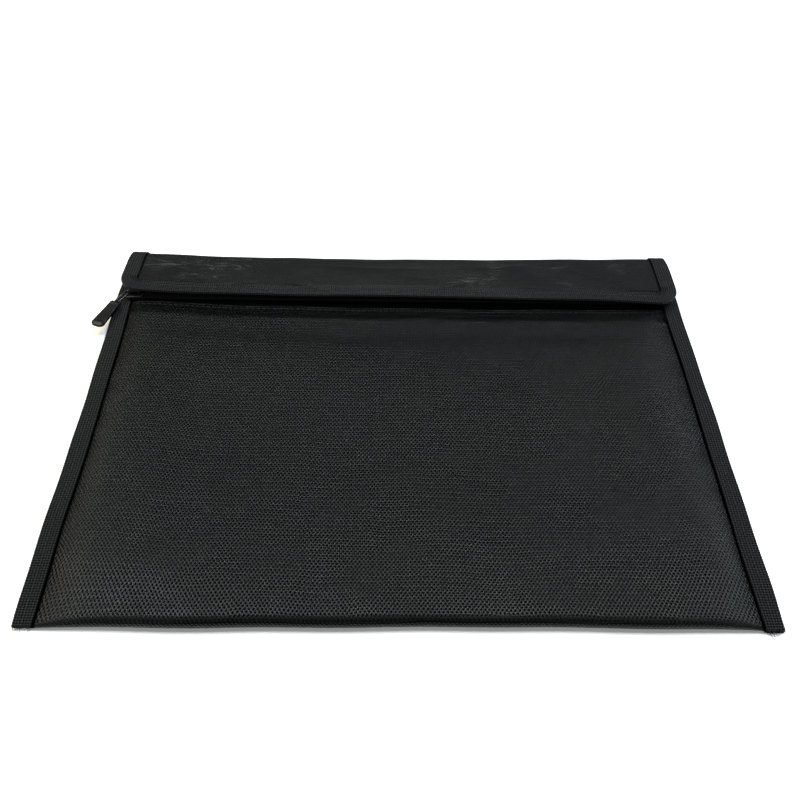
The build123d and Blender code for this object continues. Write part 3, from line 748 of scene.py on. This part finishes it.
flap_cloth = flap_sheet("flap_cloth", M_FLAP, 1.4, CORNER - 1.4, 0.0, T, 0.0, HALF - 1.4, "glass_cloth")
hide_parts("flap_panel", "flap_fold")
flap_lining = flap_sheet("flap_lining_cloth", M_LINING, 2.2, CORNER - 2.2, -T - 0.06, 0.3, 0.0, HALF - 2.2, "lining")
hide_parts("flap_lining")

# ------------------------------------------------------------------ bindings
RIB = 1.45


def binding_mesh(name, E, I, Nn, top_off, low_off, seeds, cap_jitter=0.5, W=W_BIND, mat=M_WEB, low_w=None, s_len=None):
    """Folded webbing along stations. E outer edge points, I(o) surface points inward by o, Nn(o) normals.

    top_off and low_off are the heights of the inside of the upper and lower leaf from the surface.
    """
    n = len(E)
    Wl = W if low_w is None else low_w
    mid = (top_off + low_off) / 2
    hs = (top_off - low_off) / 2
    loop = []                                                     # (o, h, outer?) round the cross-section
    for o in np.linspace(W, 1.5, 13):
        loop.append((o, hs + TW, 1.0))
    for a in np.linspace(75, -75, 7):
        loop.append((1.25 - 1.25 * math.cos(math.radians(a)), (hs + TW) * math.sin(math.radians(a)) / math.sin(math.radians(80)), 1.0))
    for o in np.linspace(1.5, Wl, 13):
        loop.append((o, -hs - TW, 1.0))
    for o in np.linspace(Wl, 1.6, 6):
        loop.append((o, -hs, 0.0))
    loop.append((TW + 0.1, 0.0, 0.0))
    for o in np.linspace(1.6, W, 6):
        loop.append((o, hs, 0.0))
    m = len(loop)
    pts = np.zeros((n, m, 3))
    cl = np.zeros((n, m, 3))
    s = s_len
    rib = np.abs(np.sin(math.pi * s / RIB))
    across = 0.0
    prev = None
    for k, (o, h, out) in enumerate(loop):
        base, nn = I(o), Nn(o)
        hh = h
        if out:
            hh = hh + math.copysign(0.17, h if abs(h) > 1e-6 else 1) * (rib - 0.45) * min(1.0, abs(h) / hs)
            # the selvedge is thicker, and the row of stitches makes a valley
            valley = 0.22 * math.exp(-((o - 5.6) / 1.1) ** 2) - 0.10 * math.exp(-((o - (W - 0.6)) / 0.7) ** 2)
            hh = hh - math.copysign(valley, h)
        p = base + nn * (np.asarray(mid) + hh)[..., None]
        if out and o < 1.4:
            # ribs on the outer edge
            outw = E - I(4.0)
            outw /= np.linalg.norm(outw, axis=1, keepdims=True)
            p = p + outw * (0.13 * (rib - 0.45))[:, None]
        pts[:, k] = p
        if prev is not None:
            across += math.hypot(o - prev[0], h - prev[1])
        prev = (o, h)
        cl[:, k] = np.stack([s, np.full(n, across), np.zeros(n)], -1)
    # cut ends: a little ragged
    d0 = pts[0].mean(0) - pts[3].mean(0)
    d1 = pts[-1].mean(0) - pts[-4].mean(0)
    d0, d1 = d0 / np.linalg.norm(d0), d1 / np.linalg.norm(d1)
    j0, j1 = rng.normal(0, cap_jitter * 0.5, m), rng.normal(0, cap_jitter * 0.5, m)
    pts[0] += d0 * j0[:, None]
    pts[-1] += d1 * j1[:, None]
    faces = [list(f) for f in grid(n, m, wrap_v=True)]
    # caps: the cross-section is a U, closed by pairing outer and inner points
    outer = list(range(0, 33))
    inner_idx = list(range(33, m))
    def cap(r, flip):
        res = []
        a, b = outer, inner_idx[::-1]
        i = j = 0
        while i < len(a) - 1 or j < len(b) - 1:
            fi, fj = (i + 1) / (len(a) - 1), (j + 1) / (len(b) - 1)
            if j == len(b) - 1 or (i < len(a) - 1 and fi <= fj):
                res.append([r * m + a[i], r * m + a[i + 1], r * m + b[j]])
                i += 1
            else:
                res.append([r * m + a[i], r * m + b[j + 1], r * m + b[j]])
                j += 1
        return [f[::-1] for f in res] if flip else res
    faces += cap(0, False) + cap(n - 1, True)
    v, c = pts.reshape(-1, 3), cl.reshape(-1, 3)
    return v, faces, c


def fix_out(ob):
    """Makes all normals of a closed mesh point outwards."""
    import bmesh
    bm = bmesh.new()
    bm.from_mesh(ob.data)
    bmesh.ops.recalc_face_normals(bm, faces=bm.faces)
    bm.to_mesh(ob.data)
    bm.free()


def side_binding(side, name, node):
    y = np.arange(-141.7 + 0.3 * (1 - side), 124.0, RIB / 4)
    z0 = seam_z(np.maximum(y, -140), side)
    top = np.where(y > -139, front_z(side * (X_BIND + 3.0), np.clip(y, -134, 85)) - z0, 0)
    stack = 2 * T + 0.45
    # near the fold the stack follows the flattened roll
    zmid = z0 + TW + stack / 2

    def I(o):
        out = outer_edge(y, side)
        xin = np.asarray(out - o * (out - inner_edge(y, side)) / W_BIND)
        return np.stack([side * xin, y, zmid], -1)

    def Nn(o):
        return np.broadcast_to(np.array([0.0, 0.0, 1.0]), (len(y), 3))
    v, f, c = binding_mesh(name, I(0.0), I, Nn, stack / 2, -stack / 2, 1, s_len=y + 150.0)
    ob = make(name, v, f, M_WEB, c, slot="webbing")
    fix_out(ob)
    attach(ob, "pouch")
    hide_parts(node)
    return ob


left_b = side_binding(-1.0, "left_side_binding_webbing", "left_side_binding")
right_b = side_binding(1.0, "right_side_binding_webbing", "right_side_binding")


def flap_outline(step):
    """Stations along the flap's edge in the flat cloth (x, q) and the inward direction there."""
    q_start = -5.0
    pts = []
    xl = HALF
    qc_l = Q_B + FOLD_Y - flap_front_y(-175.0) - CORNER
    qc_r = Q_B + FOLD_Y - flap_front_y(175.0) - CORNER
    for q in np.arange(q_start, qc_l, step):
        pts.append((-xl, q, 1.0, 0.0))
    for a in np.arange(0, math.pi / 2, step / CORNER):
        pts.append((-xl + CORNER - CORNER * math.cos(a), qc_l + CORNER * math.sin(a), math.cos(a), -math.sin(a)))
    for x in np.arange(-xl + CORNER, xl - CORNER, step):
        pts.append((x, Q_B + FOLD_Y - flap_front_y(x), 0.0, -1.0))
    for a in np.arange(math.pi / 2, 0, -step / CORNER):
        pts.append((xl - CORNER + CORNER * math.cos(a), qc_r + CORNER * math.sin(a), -math.cos(a), -math.sin(a)))
    for q in np.arange(qc_r, q_start, -step):
        pts.append((xl, q, -1.0, 0.0))
    return np.array(pts)


def flap_binding():
    o_ = flap_outline(RIB / 4)
    x, q, ix, iq = o_.T
    s = np.arange(len(x)) * RIB / 4
    # the side legs start on the back panel, where q < 0 lies in front of the split
    wob = 0.25 * np.sin(s / 17.0) + 0.18 * np.sin(s / 7.3 + 1.0)

    def at(o):
        k = np.minimum(o, 13.0)
        return x + ix * k, q + iq * k

    def I(o):
        xx, qq = at(o + (wob * (o / W_BIND)))
        p = flap_surface(xx, qq)
        return p - flap_normal(xx, qq) * (T / 2)

    def Nn(o):
        xx, qq = at(max(o, 1.0))
        return flap_normal(xx, qq)
    hs = (T + 0.35) / 2
    v, f, c = binding_mesh("flap_binding_webbing", I(0.0), I, Nn, hs - 0.1, -hs - 0.1, 2, s_len=s)
    ob = make("flap_binding_webbing", v, f, M_WEB, c, slot="webbing")
    fix_out(ob)
    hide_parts("flap_binding")
    return ob, o_


flap_b, OUTLINE = flap_binding()

# ------------------------------------------------------------------ stitches


def stitch_row(points, norms, length=2.7, gap=0.75, r=0.27, sink=0.16):
    """Separate stitches along a path: each is a short thread that dives into the cloth at both ends."""
    p = np.asarray(points, float)
    n = np.asarray(norms, float)
    seg = np.linalg.norm(np.diff(p, axis=0), axis=1)
    s = np.concatenate([[0], np.cumsum(seg)])
    parts = []
    at = 0.6
    while at + length < s[-1]:
        ln = length * rng.uniform(0.93, 1.07)
        k = np.linspace(at, at + ln, 7)
        c = np.stack([np.interp(k, s, p[:, i]) for i in range(3)], -1)
        m = np.stack([np.interp(k, s, n[:, i]) for i in range(3)], -1)
        m /= np.linalg.norm(m, axis=1, keepdims=True)
        u = np.linspace(-1, 1, 7)
        c = c + m * (r * (1 - 1.9 * u ** 4) - sink)[:, None]
        c = c + rng.normal(0, 0.05, 3)[None] * 0.6
        rad = r * np.sqrt(np.clip(1 - 0.72 * u ** 6, 0.1, 1))
        parts.append(tube(c, rad, 6))
        at += ln + gap
    return merged(parts)


def thread_piece(name, rows, body, node=None, blend=None):
    v, f = merged(rows)
    ob = make(name, v, f, M_THREAD, slot="thread")
    if node:
        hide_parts(node)
    if body:
        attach(ob, body)
    return ob


def side_stitches(side, name, node):
    y = np.arange(-139.5, 122.0, 0.8)
    z0 = seam_z(np.maximum(y, -140), side)
    stack = 2 * T + 0.45
    o = 5.6
    out = outer_edge(y, side)
    x = side * (out - o * (out - inner_edge(y, side)) / W_BIND)
    zt = z0 + 2 * TW + stack - 0.16
    up = np.broadcast_to([0, 0, 1.0], (len(y), 3))
    top = stitch_row(np.stack([x, y, zt], -1), up)
    low = stitch_row(np.stack([x, y, z0 + 0.20], -1), -up)
    return thread_piece(name, [top, low], "pouch", node)


side_stitches(-1.0, "left_side_stitches", "left_seam_thread")
side_stitches(1.0, "right_side_stitches", "right_seam_thread")


def flap_stitches():
    o_ = OUTLINE[::3]
    x, q, ix, iq = o_.T
    keep = q > 1.0
    x, q, ix, iq = x[keep], q[keep], ix[keep], iq[keep]
    xx, qq = x + ix * 5.6, q + iq * 5.6
    p, n = flap_surface(xx, qq), flap_normal(xx, qq)
    hs = (T + 0.35) / 2
    top = stitch_row(p + n * (-T / 2 - 0.1 + hs + TW - 0.16)[..., None] if False else p + n * (-T / 2 - 0.1 + hs + TW - 0.16), n)
    low = stitch_row(p + n * (-T / 2 - 0.1 - hs - TW + 0.16), -n)
    v, f = merged([top, low])
    ob = make("flap_stitches", v, f, M_THREAD, slot="thread")
    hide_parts("flap_seam_thread")
    return ob


flap_s = flap_stitches()


def hem_stitches():
    x = np.arange(-176.5, 176.5, 0.8)
    y = hem_y(x) - 2.9
    z = front_z(x, y)
    up = np.broadcast_to([0, 0, 1.0], (len(x), 3))
    return thread_piece("hem_stitches", [stitch_row(np.stack([x, y, z + 0.05], -1), up, 2.9, 0.8, 0.24)], "pouch",
                        "zip_front_seam_thread")


hem_stitches()


# ------------------------------------------------------------------ zip
Y_ZIP = 98.0


def tape_drop(x):
    """The tapes run down into the side bindings at their ends."""
    return 0.75 * sstep((np.abs(x) - 175.5) / 4.5)


def tape(name, node, back):
    x = np.concatenate([np.linspace(-188, -172, 15), np.linspace(-170, 170, 120), np.linspace(172, 188, 15)])
    rows, arc = [], []
    if not back:
        ys = np.concatenate([np.linspace(80, 94.4, 14), np.linspace(95, 97.4, 6)])
        for yy in ys:
            z = 5.0 - tape_drop(x) - 0.12 * np.sin(math.pi * (yy - 86) / 11) + 0.05 * np.sin(x / 9.0 + yy)
            rows.append(np.stack([x, np.full_like(x, yy), z], -1))
            arc.append(yy)
    else:
        side = np.where(x < 0, -1.0, 1.0)
        ys = np.concatenate([np.linspace(98.6, 103, 8), np.linspace(104, 113, 12), np.linspace(114, 121, 6)])
        land = back_z(x, 113.0 + 0 * x) + T + 0.3 + 0.55
        for yy in ys:
            t = sstep((yy - 103.0) / 10.0)
            z = (5.0 - tape_drop(x)) * (1 - t) + land * t + 0.05 * np.sin(x / 8.0 + yy)
            rows.append(np.stack([x, np.full_like(x, yy), z], -1))
            arc.append(yy)
    p = np.stack(rows, 1)
    c = np.stack([np.broadcast_to(x[:, None], p.shape[:2]), np.broadcast_to(np.array(arc)[None], p.shape[:2]),
                  np.zeros(p.shape[:2])], -1)
    n = normals(p)
    if n[20, 3, 2] < 0:
        p, c = p[::-1], c[::-1]
        n = normals(p)
    ob = slab(name, p, p - n * 0.5, M_TAPE, c, body="pouch", slot="zip_tape")
    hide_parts(node)
    return ob


tape("zip_tape_front_knit", "zip_tape_front", False)
tape("zip_tape_back_knit", "zip_tape_back", True)


def coil(name, node, side):
    """One side of the nylon coil: a flattened helix sewn to its tape."""
    pitch = 1.28
    x0, x1 = -178.7, 178.7
    turns = (x1 - x0) / pitch
    k = np.linspace(0, turns, int(turns * 12) + 1)
    a = 2 * math.pi * k
    ph = 0.0 if side < 0 else math.pi
    x = x0 + pitch * k + (0 if side < 0 else pitch * 0.5)
    # heads reach just over the middle line
    y = Y_ZIP + side * (1.42 - 1.55 * np.cos(a)) + 0 * x
    z = 6.0 + 0.62 * np.sin(a)
    keep = x < x1
    v, f = tube(np.stack([x, y, z], -1)[keep], 0.30, 6)
    cord = tube(np.stack([np.linspace(x0, x1, 120), np.full(120, Y_ZIP + side * 2.2), np.full(120, 5.95)], -1), 0.42, 8)
    sew = []
    for yy in (1.75, 2.75):
        xx = np.arange(x0 + 0.6, x1 - 0.6, 0.9)
        sew.append(stitch_row(np.stack([xx, np.full_like(xx, Y_ZIP + side * yy), np.full_like(xx, 6.66 if yy < 2 else 6.35)], -1),
                              np.broadcast_to([0, 0, 1.0], (len(xx), 3)), 2.35, 0.2, 0.16, 0.02))
    v, f = merged([(v, f), cord] + sew)
    ob = make(name, v, f, M_COIL, body="pouch", slot="zip_coil")
    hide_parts(node)
    return ob


coil("zip_coil_front_teeth", "zip_coil_front", -1.0)
coil("zip_coil_back_teeth", "zip_coil_back", 1.0)


def back_zip_stitches():
    x = np.arange(-176.0, 176.0, 0.8)
    y = 116.5 + 0 * x
    z = back_z(x, 113.0 + 0 * x) + T + 0.3 + 0.55
    up = np.broadcast_to([0, 0, 1.0], (len(x), 3))
    rows = [stitch_row(np.stack([x, y, z], -1), up, 2.9, 0.8, 0.24)]
    zb = back_z(x, y) + 0.10
    rows.append(stitch_row(np.stack([x, y, zb], -1), -up, 2.9, 0.8, 0.22, 0.14))
    return thread_piece("back_zip_stitches", rows, "pouch", "zip_back_seam_thread")


back_zip_stitches()

# lining inside the pouch: a sheet under the front panel and over the back one


def inner_lining():
    x = np.linspace(-177.3, 177.3, 90)
    rows, arc = [], []
    for yy in np.linspace(76, -128, 60):
        zz = front_z(x, yy + 0 * x) - T - 0.12
        zb = back_z(x, yy + 0 * x) + T + 0.12
        rows.append(np.stack([x, np.full_like(x, yy), np.maximum(zz, zb + 0.2)], -1))
        arc.append(76 - yy)
    zt, zb = rows[-1][:, 2], back_z(x, -128 + 0 * x) + T + 0.12
    r = (zt - zb) / 2
    for a in np.linspace(90, 270, 15)[1:-1]:
        rows.append(np.stack([x, -128 + r * math.cos(math.radians(a)), (zt + zb) / 2 + r * math.sin(math.radians(a))], -1))
        arc.append(204 + 4 * math.radians(a - 90))
    for yy in np.linspace(-128, 112, 60):
        zb = back_z(x, yy + 0 * x) + T + 0.12
        rows.append(np.stack([x, np.full_like(x, yy), zb], -1))
        arc.append(217 + yy + 128)
    p = np.stack(rows, 1)
    c = np.stack([np.broadcast_to(x[:, None], p.shape[:2]), np.broadcast_to(np.array(arc)[None], p.shape[:2]),
                  np.zeros(p.shape[:2])], -1)
    n = normals(p)
    if n[45, 10, 2] < 0:
        p, c = p[::-1], c[::-1]
        n = normals(p)
    ob = slab("inner_lining_cloth", p, p - n * 0.08, M_LINING, c, body="pouch", slot="lining")
    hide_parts("inner_lining")
    return ob


inner_lining()

# ------------------------------------------------------------------ slider, link and grip
SX = -176.5


def rounded(points, radius, n=5):
    """Outline with its corners rounded."""
    out = []
    p = np.asarray(points, float)
    k = len(p)
    rad = np.broadcast_to(radius, (k,))
    for i in range(k):
        a, b, c = p[i - 1], p[i], p[(i + 1) % k]
        u, w = (a - b) / np.linalg.norm(a - b), (c - b) / np.linalg.norm(c - b)
        half = math.acos(np.clip(u @ w, -1, 1)) / 2
        d = min(rad[i] / math.tan(half), 0.48 * np.linalg.norm(a - b), 0.48 * np.linalg.norm(c - b))
        s, e = b + u * d, b + w * d
        for t in np.linspace(0, 1, n):
            out.append((1 - t) ** 2 * s + 2 * t * (1 - t) * b + t ** 2 * e)
    return np.array(out)


def plate(outline, z0, z1, bevel, dome=0.0):
    """A plate with rounded edges and a slightly domed top."""
    o = np.asarray(outline, float)
    c = o.mean(0)
    t = np.linalg.norm(o - c, axis=1, keepdims=True)
    rings = []
    for inset, z in [(0.999, z0), (bevel, z0), (bevel * 0.3, z0 + bevel * 0.3), (0, z0 + bevel)]:
        if inset == 0.999:
            continue
        rings.append((inset, z))
    for a in np.linspace(0, 90, 5):
        rings.append((bevel * (1 - math.cos(math.radians(a))), z1 - bevel + bevel * math.sin(math.radians(a))))
    pts = []
    for inset, z in rings:
        q = c + (o - c) * (1 - inset / t)
        pts.append(np.column_stack([q, np.full(len(q), z)]))
    for f, zz in ((0.66, 0.55), (0.33, 0.9)):
        q = c + (o - c) * f
        pts.append(np.column_stack([q, np.full(len(q), z1 + dome * zz)]))
    n = len(o)
    v = np.concatenate(pts + [np.array([[*c, z1 + dome]]), np.array([[*c, z0]])])
    faces = [list(f) for f in grid(len(pts), n, wrap_v=True)]
    last, top, low = (len(pts) - 1) * n, len(pts) * n, len(pts) * n + 1
    for i in range(n):
        faces.append([last + i, last + (i + 1) % n, top])
        faces.append([(i + 1) % n, i, low])
    return v, faces


def slider():
    y = Y_ZIP
    top = rounded([(SX - 6.6, y - 4.5), (SX - 3.0, y - 4.55), (SX + 4.5, y - 3.5), (SX + 4.5, y + 3.5), (SX - 3.0, y + 4.55),
                   (SX - 6.6, y + 4.5)], [2.2, 1.5, 1.2, 1.2, 1.5, 2.2], 7)
    low = rounded([(SX - 2.5, y - 4.4), (SX - 0.5, y - 4.4), (SX + 4.5, y - 3.5), (SX + 4.5, y + 3.5), (SX - 0.5, y + 4.4),
                   (SX - 2.5, y + 4.4)], [0.9, 1.5, 1.2, 1.2, 1.5, 0.9], 6)
    parts = [plate(top, 7.3, 8.25, 0.42, 0.12), plate(low, 3.72, 4.3, 0.2)]
    # raised rim round the upper plate
    c = top.mean(0)
    rim_path = c + (top - c) * (1 - 0.55 / np.linalg.norm(top - c, axis=1, keepdims=True))
    parts.append(tube(np.column_stack([rim_path, np.full(len(rim_path), 8.18)]), 0.34, 8, closed=True))
    for s in (-1, 1):                                             # flanges that hold the coils in
        f = rounded([(SX - 2.2, y + s * 4.1), (SX + 3.6, y + s * 3.35), (SX + 3.6, y + s * 2.75), (SX - 2.2, y + s * 3.3)], 0.3, 4)
        if s > 0:
            f = f[::-1]
        parts.append(plate(f, 5.3, 7.5, 0.15))
    neck = rounded([(SX - 2.2, y - 0.4), (SX - 0.2, y - 0.12), (SX - 0.2, y + 0.12), (SX - 2.2, y + 0.4)], 0.1, 3)
    parts.append(plate(neck, 4.1, 7.5, 0.05))
    # bridge: a flat band that rises from a round post, runs along the slider and comes down at the tail
    path = []
    x0, x1, z0, z1, r = SX - 5.45, SX + 1.95, 8.1, 10.3, 1.05
    for t in np.linspace(0, 1, 5)[:-1]:
        path.append((x0, z0 + (z1 - r - z0) * t))
    for a in np.linspace(180, 90, 8):
        path.append((x0 + r + r * math.cos(math.radians(a)), z1 - r + r * math.sin(math.radians(a))))
    for a in np.linspace(90, 0, 8):
        path.append((x1 - 1.4 + 1.4 * math.cos(math.radians(a)), z1 - 1.4 + 1.4 * math.sin(math.radians(a))))
    for t in np.linspace(0, 1, 5)[1:]:
        path.append((x1, z1 - 1.4 + (z0 - z1 + 1.4) * t))
    path = np.array(path)
    tng = np.gradient(path, axis=0)
    tng /= np.linalg.norm(tng, axis=1, keepdims=True)
    nrm = np.column_stack([-tng[:, 1], tng[:, 0]])
    along = np.linspace(0, 1, len(path))
    half_w = 0.50 + 0.42 * sstep(along / 0.3)
    half_t = np.full(len(path), 0.42)
    ang = np.linspace(0, 2 * math.pi, 14, endpoint=False)
    pts = []
    for k in range(len(path)):
        e = 0.62
        ca, sa = np.cos(ang), np.sin(ang)
        yy = np.sign(ca) * np.abs(ca) ** e * half_w[k]
        tt = np.sign(sa) * np.abs(sa) ** e * half_t[k]
        pts.append(np.column_stack([path[k, 0] + nrm[k, 0] * tt, y + yy, path[k, 1] + nrm[k, 1] * tt]))
    v = np.concatenate(pts)
    f = [list(q) for q in grid(len(path), 14, wrap_v=True)]
    f.append(list(range(14))[::-1])
    f.append([(len(path) - 1) * 14 + k for k in range(14)])
    parts.append((v, f))
    v, f = merged(parts)
    ob = make("slider_casting", v, f, M_SLIDER, slot="slider_metal")
    fix_out(ob)
    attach(ob, "zip_slider")
    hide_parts("slider_body")


slider()

POST = np.array([-181.95, 98.0, 9.05])
PULL = math.radians(30.0)
LINK_L = 10.2
GRIP_L = 24.6
GRIP_YAW = math.radians(11.0)         # the grip hangs askew on the link's bar


def pull_frame(p):
    """From the pull's own frame (-Y along it, origin at the post) to the bag's."""
    p = np.asarray(p, float)
    c, s = math.cos(-PULL), math.sin(-PULL)
    return np.column_stack([c * p[:, 0] - s * p[:, 1], s * p[:, 0] + c * p[:, 1], p[:, 2]]) + POST


def link():
    r, R = 0.5, 1.4
    path = [(R * math.cos(a), R * math.sin(a), 0) for a in np.linspace(0, math.pi, 17)]
    path += [(-R, -t, 0) for t in np.linspace(0.7, LINK_L - 0.6, 14)]
    path += [(-R + 0.5 * (1 - math.cos(a)), -LINK_L + 0.5 - 0.5 * math.sin(a), 0) for a in np.linspace(0, math.pi / 2, 7)[1:]]
    path += [(x, -LINK_L, 0) for x in np.linspace(-0.6, 0.6, 4)]
    path += [(R - 0.5 * (1 - math.cos(a)), -LINK_L + 0.5 - 0.5 * math.sin(a), 0) for a in np.linspace(math.pi / 2, 0, 7)[:-1]]
    path += [(R, -t, 0) for t in np.linspace(LINK_L - 0.6, 0.7, 14)]
    v, f = tube(pull_frame(path), r, 12, closed=True)
    ob = make("pull_link_wire", v, f, M_LINK, slot="link_wire")
    fix_out(ob)
    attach(ob, "pull_link")
    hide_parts("pull_link")


link()


def grip():
    """Moulded grip: an eye round the wire, a squarish head, a dished face and a lip at the end."""
    L0, L1 = LINK_L + 1.45, LINK_L + 1.45 + GRIP_L
    st = np.concatenate([np.linspace(0, 1.6, 7), np.linspace(2.2, 19.1, 22), np.linspace(19.6, GRIP_L, 18)])
    ang = np.linspace(0, 2 * math.pi, 40, endpoint=False)
    pts = []
    for s in st:
        w = 3.4 + (4.6 - 3.4) * (s / GRIP_L) ** 1.1                # half width
        h = 1.2 - 0.12 * math.sin(math.pi * min(s / 18.0, 1))
        # rounded head and rounded end
        if s < 1.6:
            k = math.sqrt(max(1 - (1 - s / 1.6) ** 2, 0.0))
            w = w - 1.3 * (1 - k)
            h = h * (0.55 + 0.45 * k)
        e = (s - 20.0) / 4.6
        if e > 0:
            k = math.sqrt(max(1 - e ** 2.6, 0.0))
            w = w * (0.30 + 0.70 * k)
            h = h * (0.42 + 0.58 * k)
        lip = 0.34 * math.exp(-((s - 21.9) / 0.8) ** 2) - 0.22 * math.exp(-((s - 19.8) / 0.7) ** 2)
        ca, sa = np.cos(ang), np.sin(ang)
        n = 0.42
        xx = np.sign(ca) * np.abs(ca) ** n * w
        zz = np.sign(sa) * np.abs(sa) ** n * h
        face = np.clip(1 - (xx / max(w - 0.9, 0.4)) ** 4, 0, 1)
        dish = 0.22 * sstep((s - 1.8) / 1.5) * (1 - sstep((s - 18.6) / 1.2))
        zz = zz - np.sign(zz) * face * dish
        zz = zz + np.sign(zz) * lip * (np.abs(zz) / max(h, 0.3)) ** 2
        pts.append(np.column_stack([xx, np.full(len(ang), -(L0 + s)), zz]))
    v = np.concatenate(pts)
    f = [list(q) for q in grid(len(st), len(ang), wrap_v=True)]
    a = len(v)
    v = np.concatenate([v, [[0, -L0 + 0.12, 0], [0, -L1 - 0.25, 0]]])
    cy_, sy_ = math.cos(GRIP_YAW), math.sin(GRIP_YAW)
    v = np.column_stack([cy_ * v[:, 0] - sy_ * (v[:, 1] + LINK_L), sy_ * v[:, 0] + cy_ * (v[:, 1] + LINK_L) - LINK_L, v[:, 2]])
    m = len(ang)
    for i in range(m):
        f.append([(i + 1) % m, i, a])
        f.append([(len(st) - 1) * m + i, (len(st) - 1) * m + (i + 1) % m, a + 1])
    # eye round the wire's cross bar, open for the wire
    eye_o, eye_i, hw = 1.2, 0.62, 0.8
    ring = []
    th = np.linspace(0, 2 * math.pi, 24, endpoint=False)
    prof = [(-hw + 0.1, eye_o), (hw - 0.1, eye_o), (hw, eye_o - 0.1), (hw, eye_i), (-hw, eye_i), (-hw, eye_o - 0.1)]
    for x, r in prof:
        ring.append(np.column_stack([np.full(24, x), -LINK_L + r * np.cos(th), r * np.sin(th)]))
    ev = np.concatenate(ring)
    ef = [list(q) for q in grid(len(prof), 24, wrap_u=True, wrap_v=True)]
    web = plate(rounded([(-0.8, -LINK_L - 2.0), (0.8, -LINK_L - 2.0), (0.8, -LINK_L - 0.9), (-0.8, -LINK_L - 0.9)], 0.1, 3), -0.9, 0.9, 0.08)
    v, f = merged([(v, f), (ev, ef), web])
    ob = make("pull_grip_rubber", pull_frame(v), f, M_GRIP, slot="grip_rubber")
    fix_out(ob)
    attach(ob, "pull_grip")
    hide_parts("pull_grip")


grip()

# ------------------------------------------------------------------ loose fibres at the cut ends


def fibres(name, spots):
    parts = []
    for x, y, z, dx, dy, dz, ln in spots:
        d = np.array([dx, dy, dz], float)
        d /= np.linalg.norm(d)
        side = np.cross(d, [0.3, 0.5, 0.8])
        side /= np.linalg.norm(side)
        t = np.linspace(0, 1, 9)
        bend = rng.uniform(-0.5, 0.5)
        p = np.array([x, y, z]) + d * (t * ln)[:, None] + side * (bend * ln * t ** 2)[:, None]
        p[:, 2] = np.maximum(p[:, 2], 0.12)
        parts.append(tube(p, 0.09 * (1 - 0.4 * t), 5))
    v, f = merged(parts)
    ob = make(name, v, f, M_THREAD, slot="thread")
    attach(ob, "pouch")


spots = []
for side in (-1, 1):
    for k in range(16):
        x = side * rng.uniform(180.0, 189.6)
        z = rng.choice([0.9, 1.2, 3.1, 3.4]) + rng.uniform(-0.2, 0.2)
        spots.append((x, -141.9, z, rng.uniform(-0.5, 0.5), -1, rng.uniform(-0.3, 0.1), rng.uniform(0.5, 1.5)))
spots += [(181.5, -142.0, 1.2, 0.3, -1.0, -0.15, 4.2), (184.0, -142.0, 1.0, -0.5, -1.0, -0.1, 3.4), (182.6, -142.0, 0.9, 0.8, -0.8, 0.0, 2.8)]
fibres("binding_end_fibres", spots)

# ------------------------------------------------------------------ flap pieces: placement baked into their points
for ob in (flap_cloth, flap_lining, flap_b, flap_s):
    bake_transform(ob)

# ------------------------------------------------------------------ floor and light
fl = bpy.data.meshes.new("floor")
s = 6.0
fl.from_pydata([(-s, -s, -0.0002), (s, -s, -0.0002), (s, s, -0.0002), (-s, s, -0.0002)], [], [(0, 1, 2, 3)])
floor = bpy.data.objects.new("floor", fl)
scene.collection.objects.link(floor)
fm = Nodes("floor_paper")
fvec, _, _, _ = fm.obj()
fcol = fm.mix(fm.noise(fvec, 3.0), (0.90, 0.90, 0.90), (0.93, 0.93, 0.93))
fl.materials.append(fm.done(fcol, 0.9, spec=0.1))

world = bpy.data.worlds.new("world")
scene.world = world
world.use_nodes = True
bg = world.node_tree.nodes["Background"]
bg.inputs[0].default_value = (0.97, 1.0, 1.03, 1.0)
bg.inputs[1].default_value = 0.14


def area(name, loc, target, size, radiance, color=(1, 1, 1), size_y=None):
    from mathutils import Vector
    l = bpy.data.lights.new(name, "AREA")
    l.shape = "RECTANGLE"
    l.size, l.size_y = size, size_y or size
    l.energy = radiance * math.pi * l.size * l.size_y
    l.color = color
    o = bpy.data.objects.new(name, l)
    scene.collection.objects.link(o)
    o.location = loc
    o.rotation_mode = "QUATERNION"
    o.rotation_quaternion = (Vector(target) - Vector(loc)).to_track_quat("-Z", "Y")
    return o


# a long overhead bank of soft light, a little warmer on the left than on the right
area("softbox_left", (-1.75, 0.5, 4.0), (-1.75, 0.5, 0), 2.2, 11.8, (1.0, 0.91, 0.70), 1.9)
area("softbox_right", (1.75, 0.5, 4.0), (1.75, 0.5, 0), 2.2, 13.2, (0.70, 0.87, 1.0), 1.9)
# two small ones further back glint along the near corners
area("glow_left", (-1.9, 1.75, 4.0), (-0.15, -0.12, 0), 1.4, 14.0, (1.0, 0.88, 0.64), 0.9)
area("glow_right", (1.9, 1.75, 4.0), (0.15, -0.12, 0), 1.4, 19.0, (0.62, 0.83, 1.0), 0.9)
# a weaker one over the viewer's head keeps the table white in front of the bag
area("softbox_front", (0.0, -2.4, 2.6), (0.0, -0.1, 0.0), 3.4, 2.8, (1.0, 1.0, 1.0), 1.4)

scene.view_settings.view_transform = "Standard"
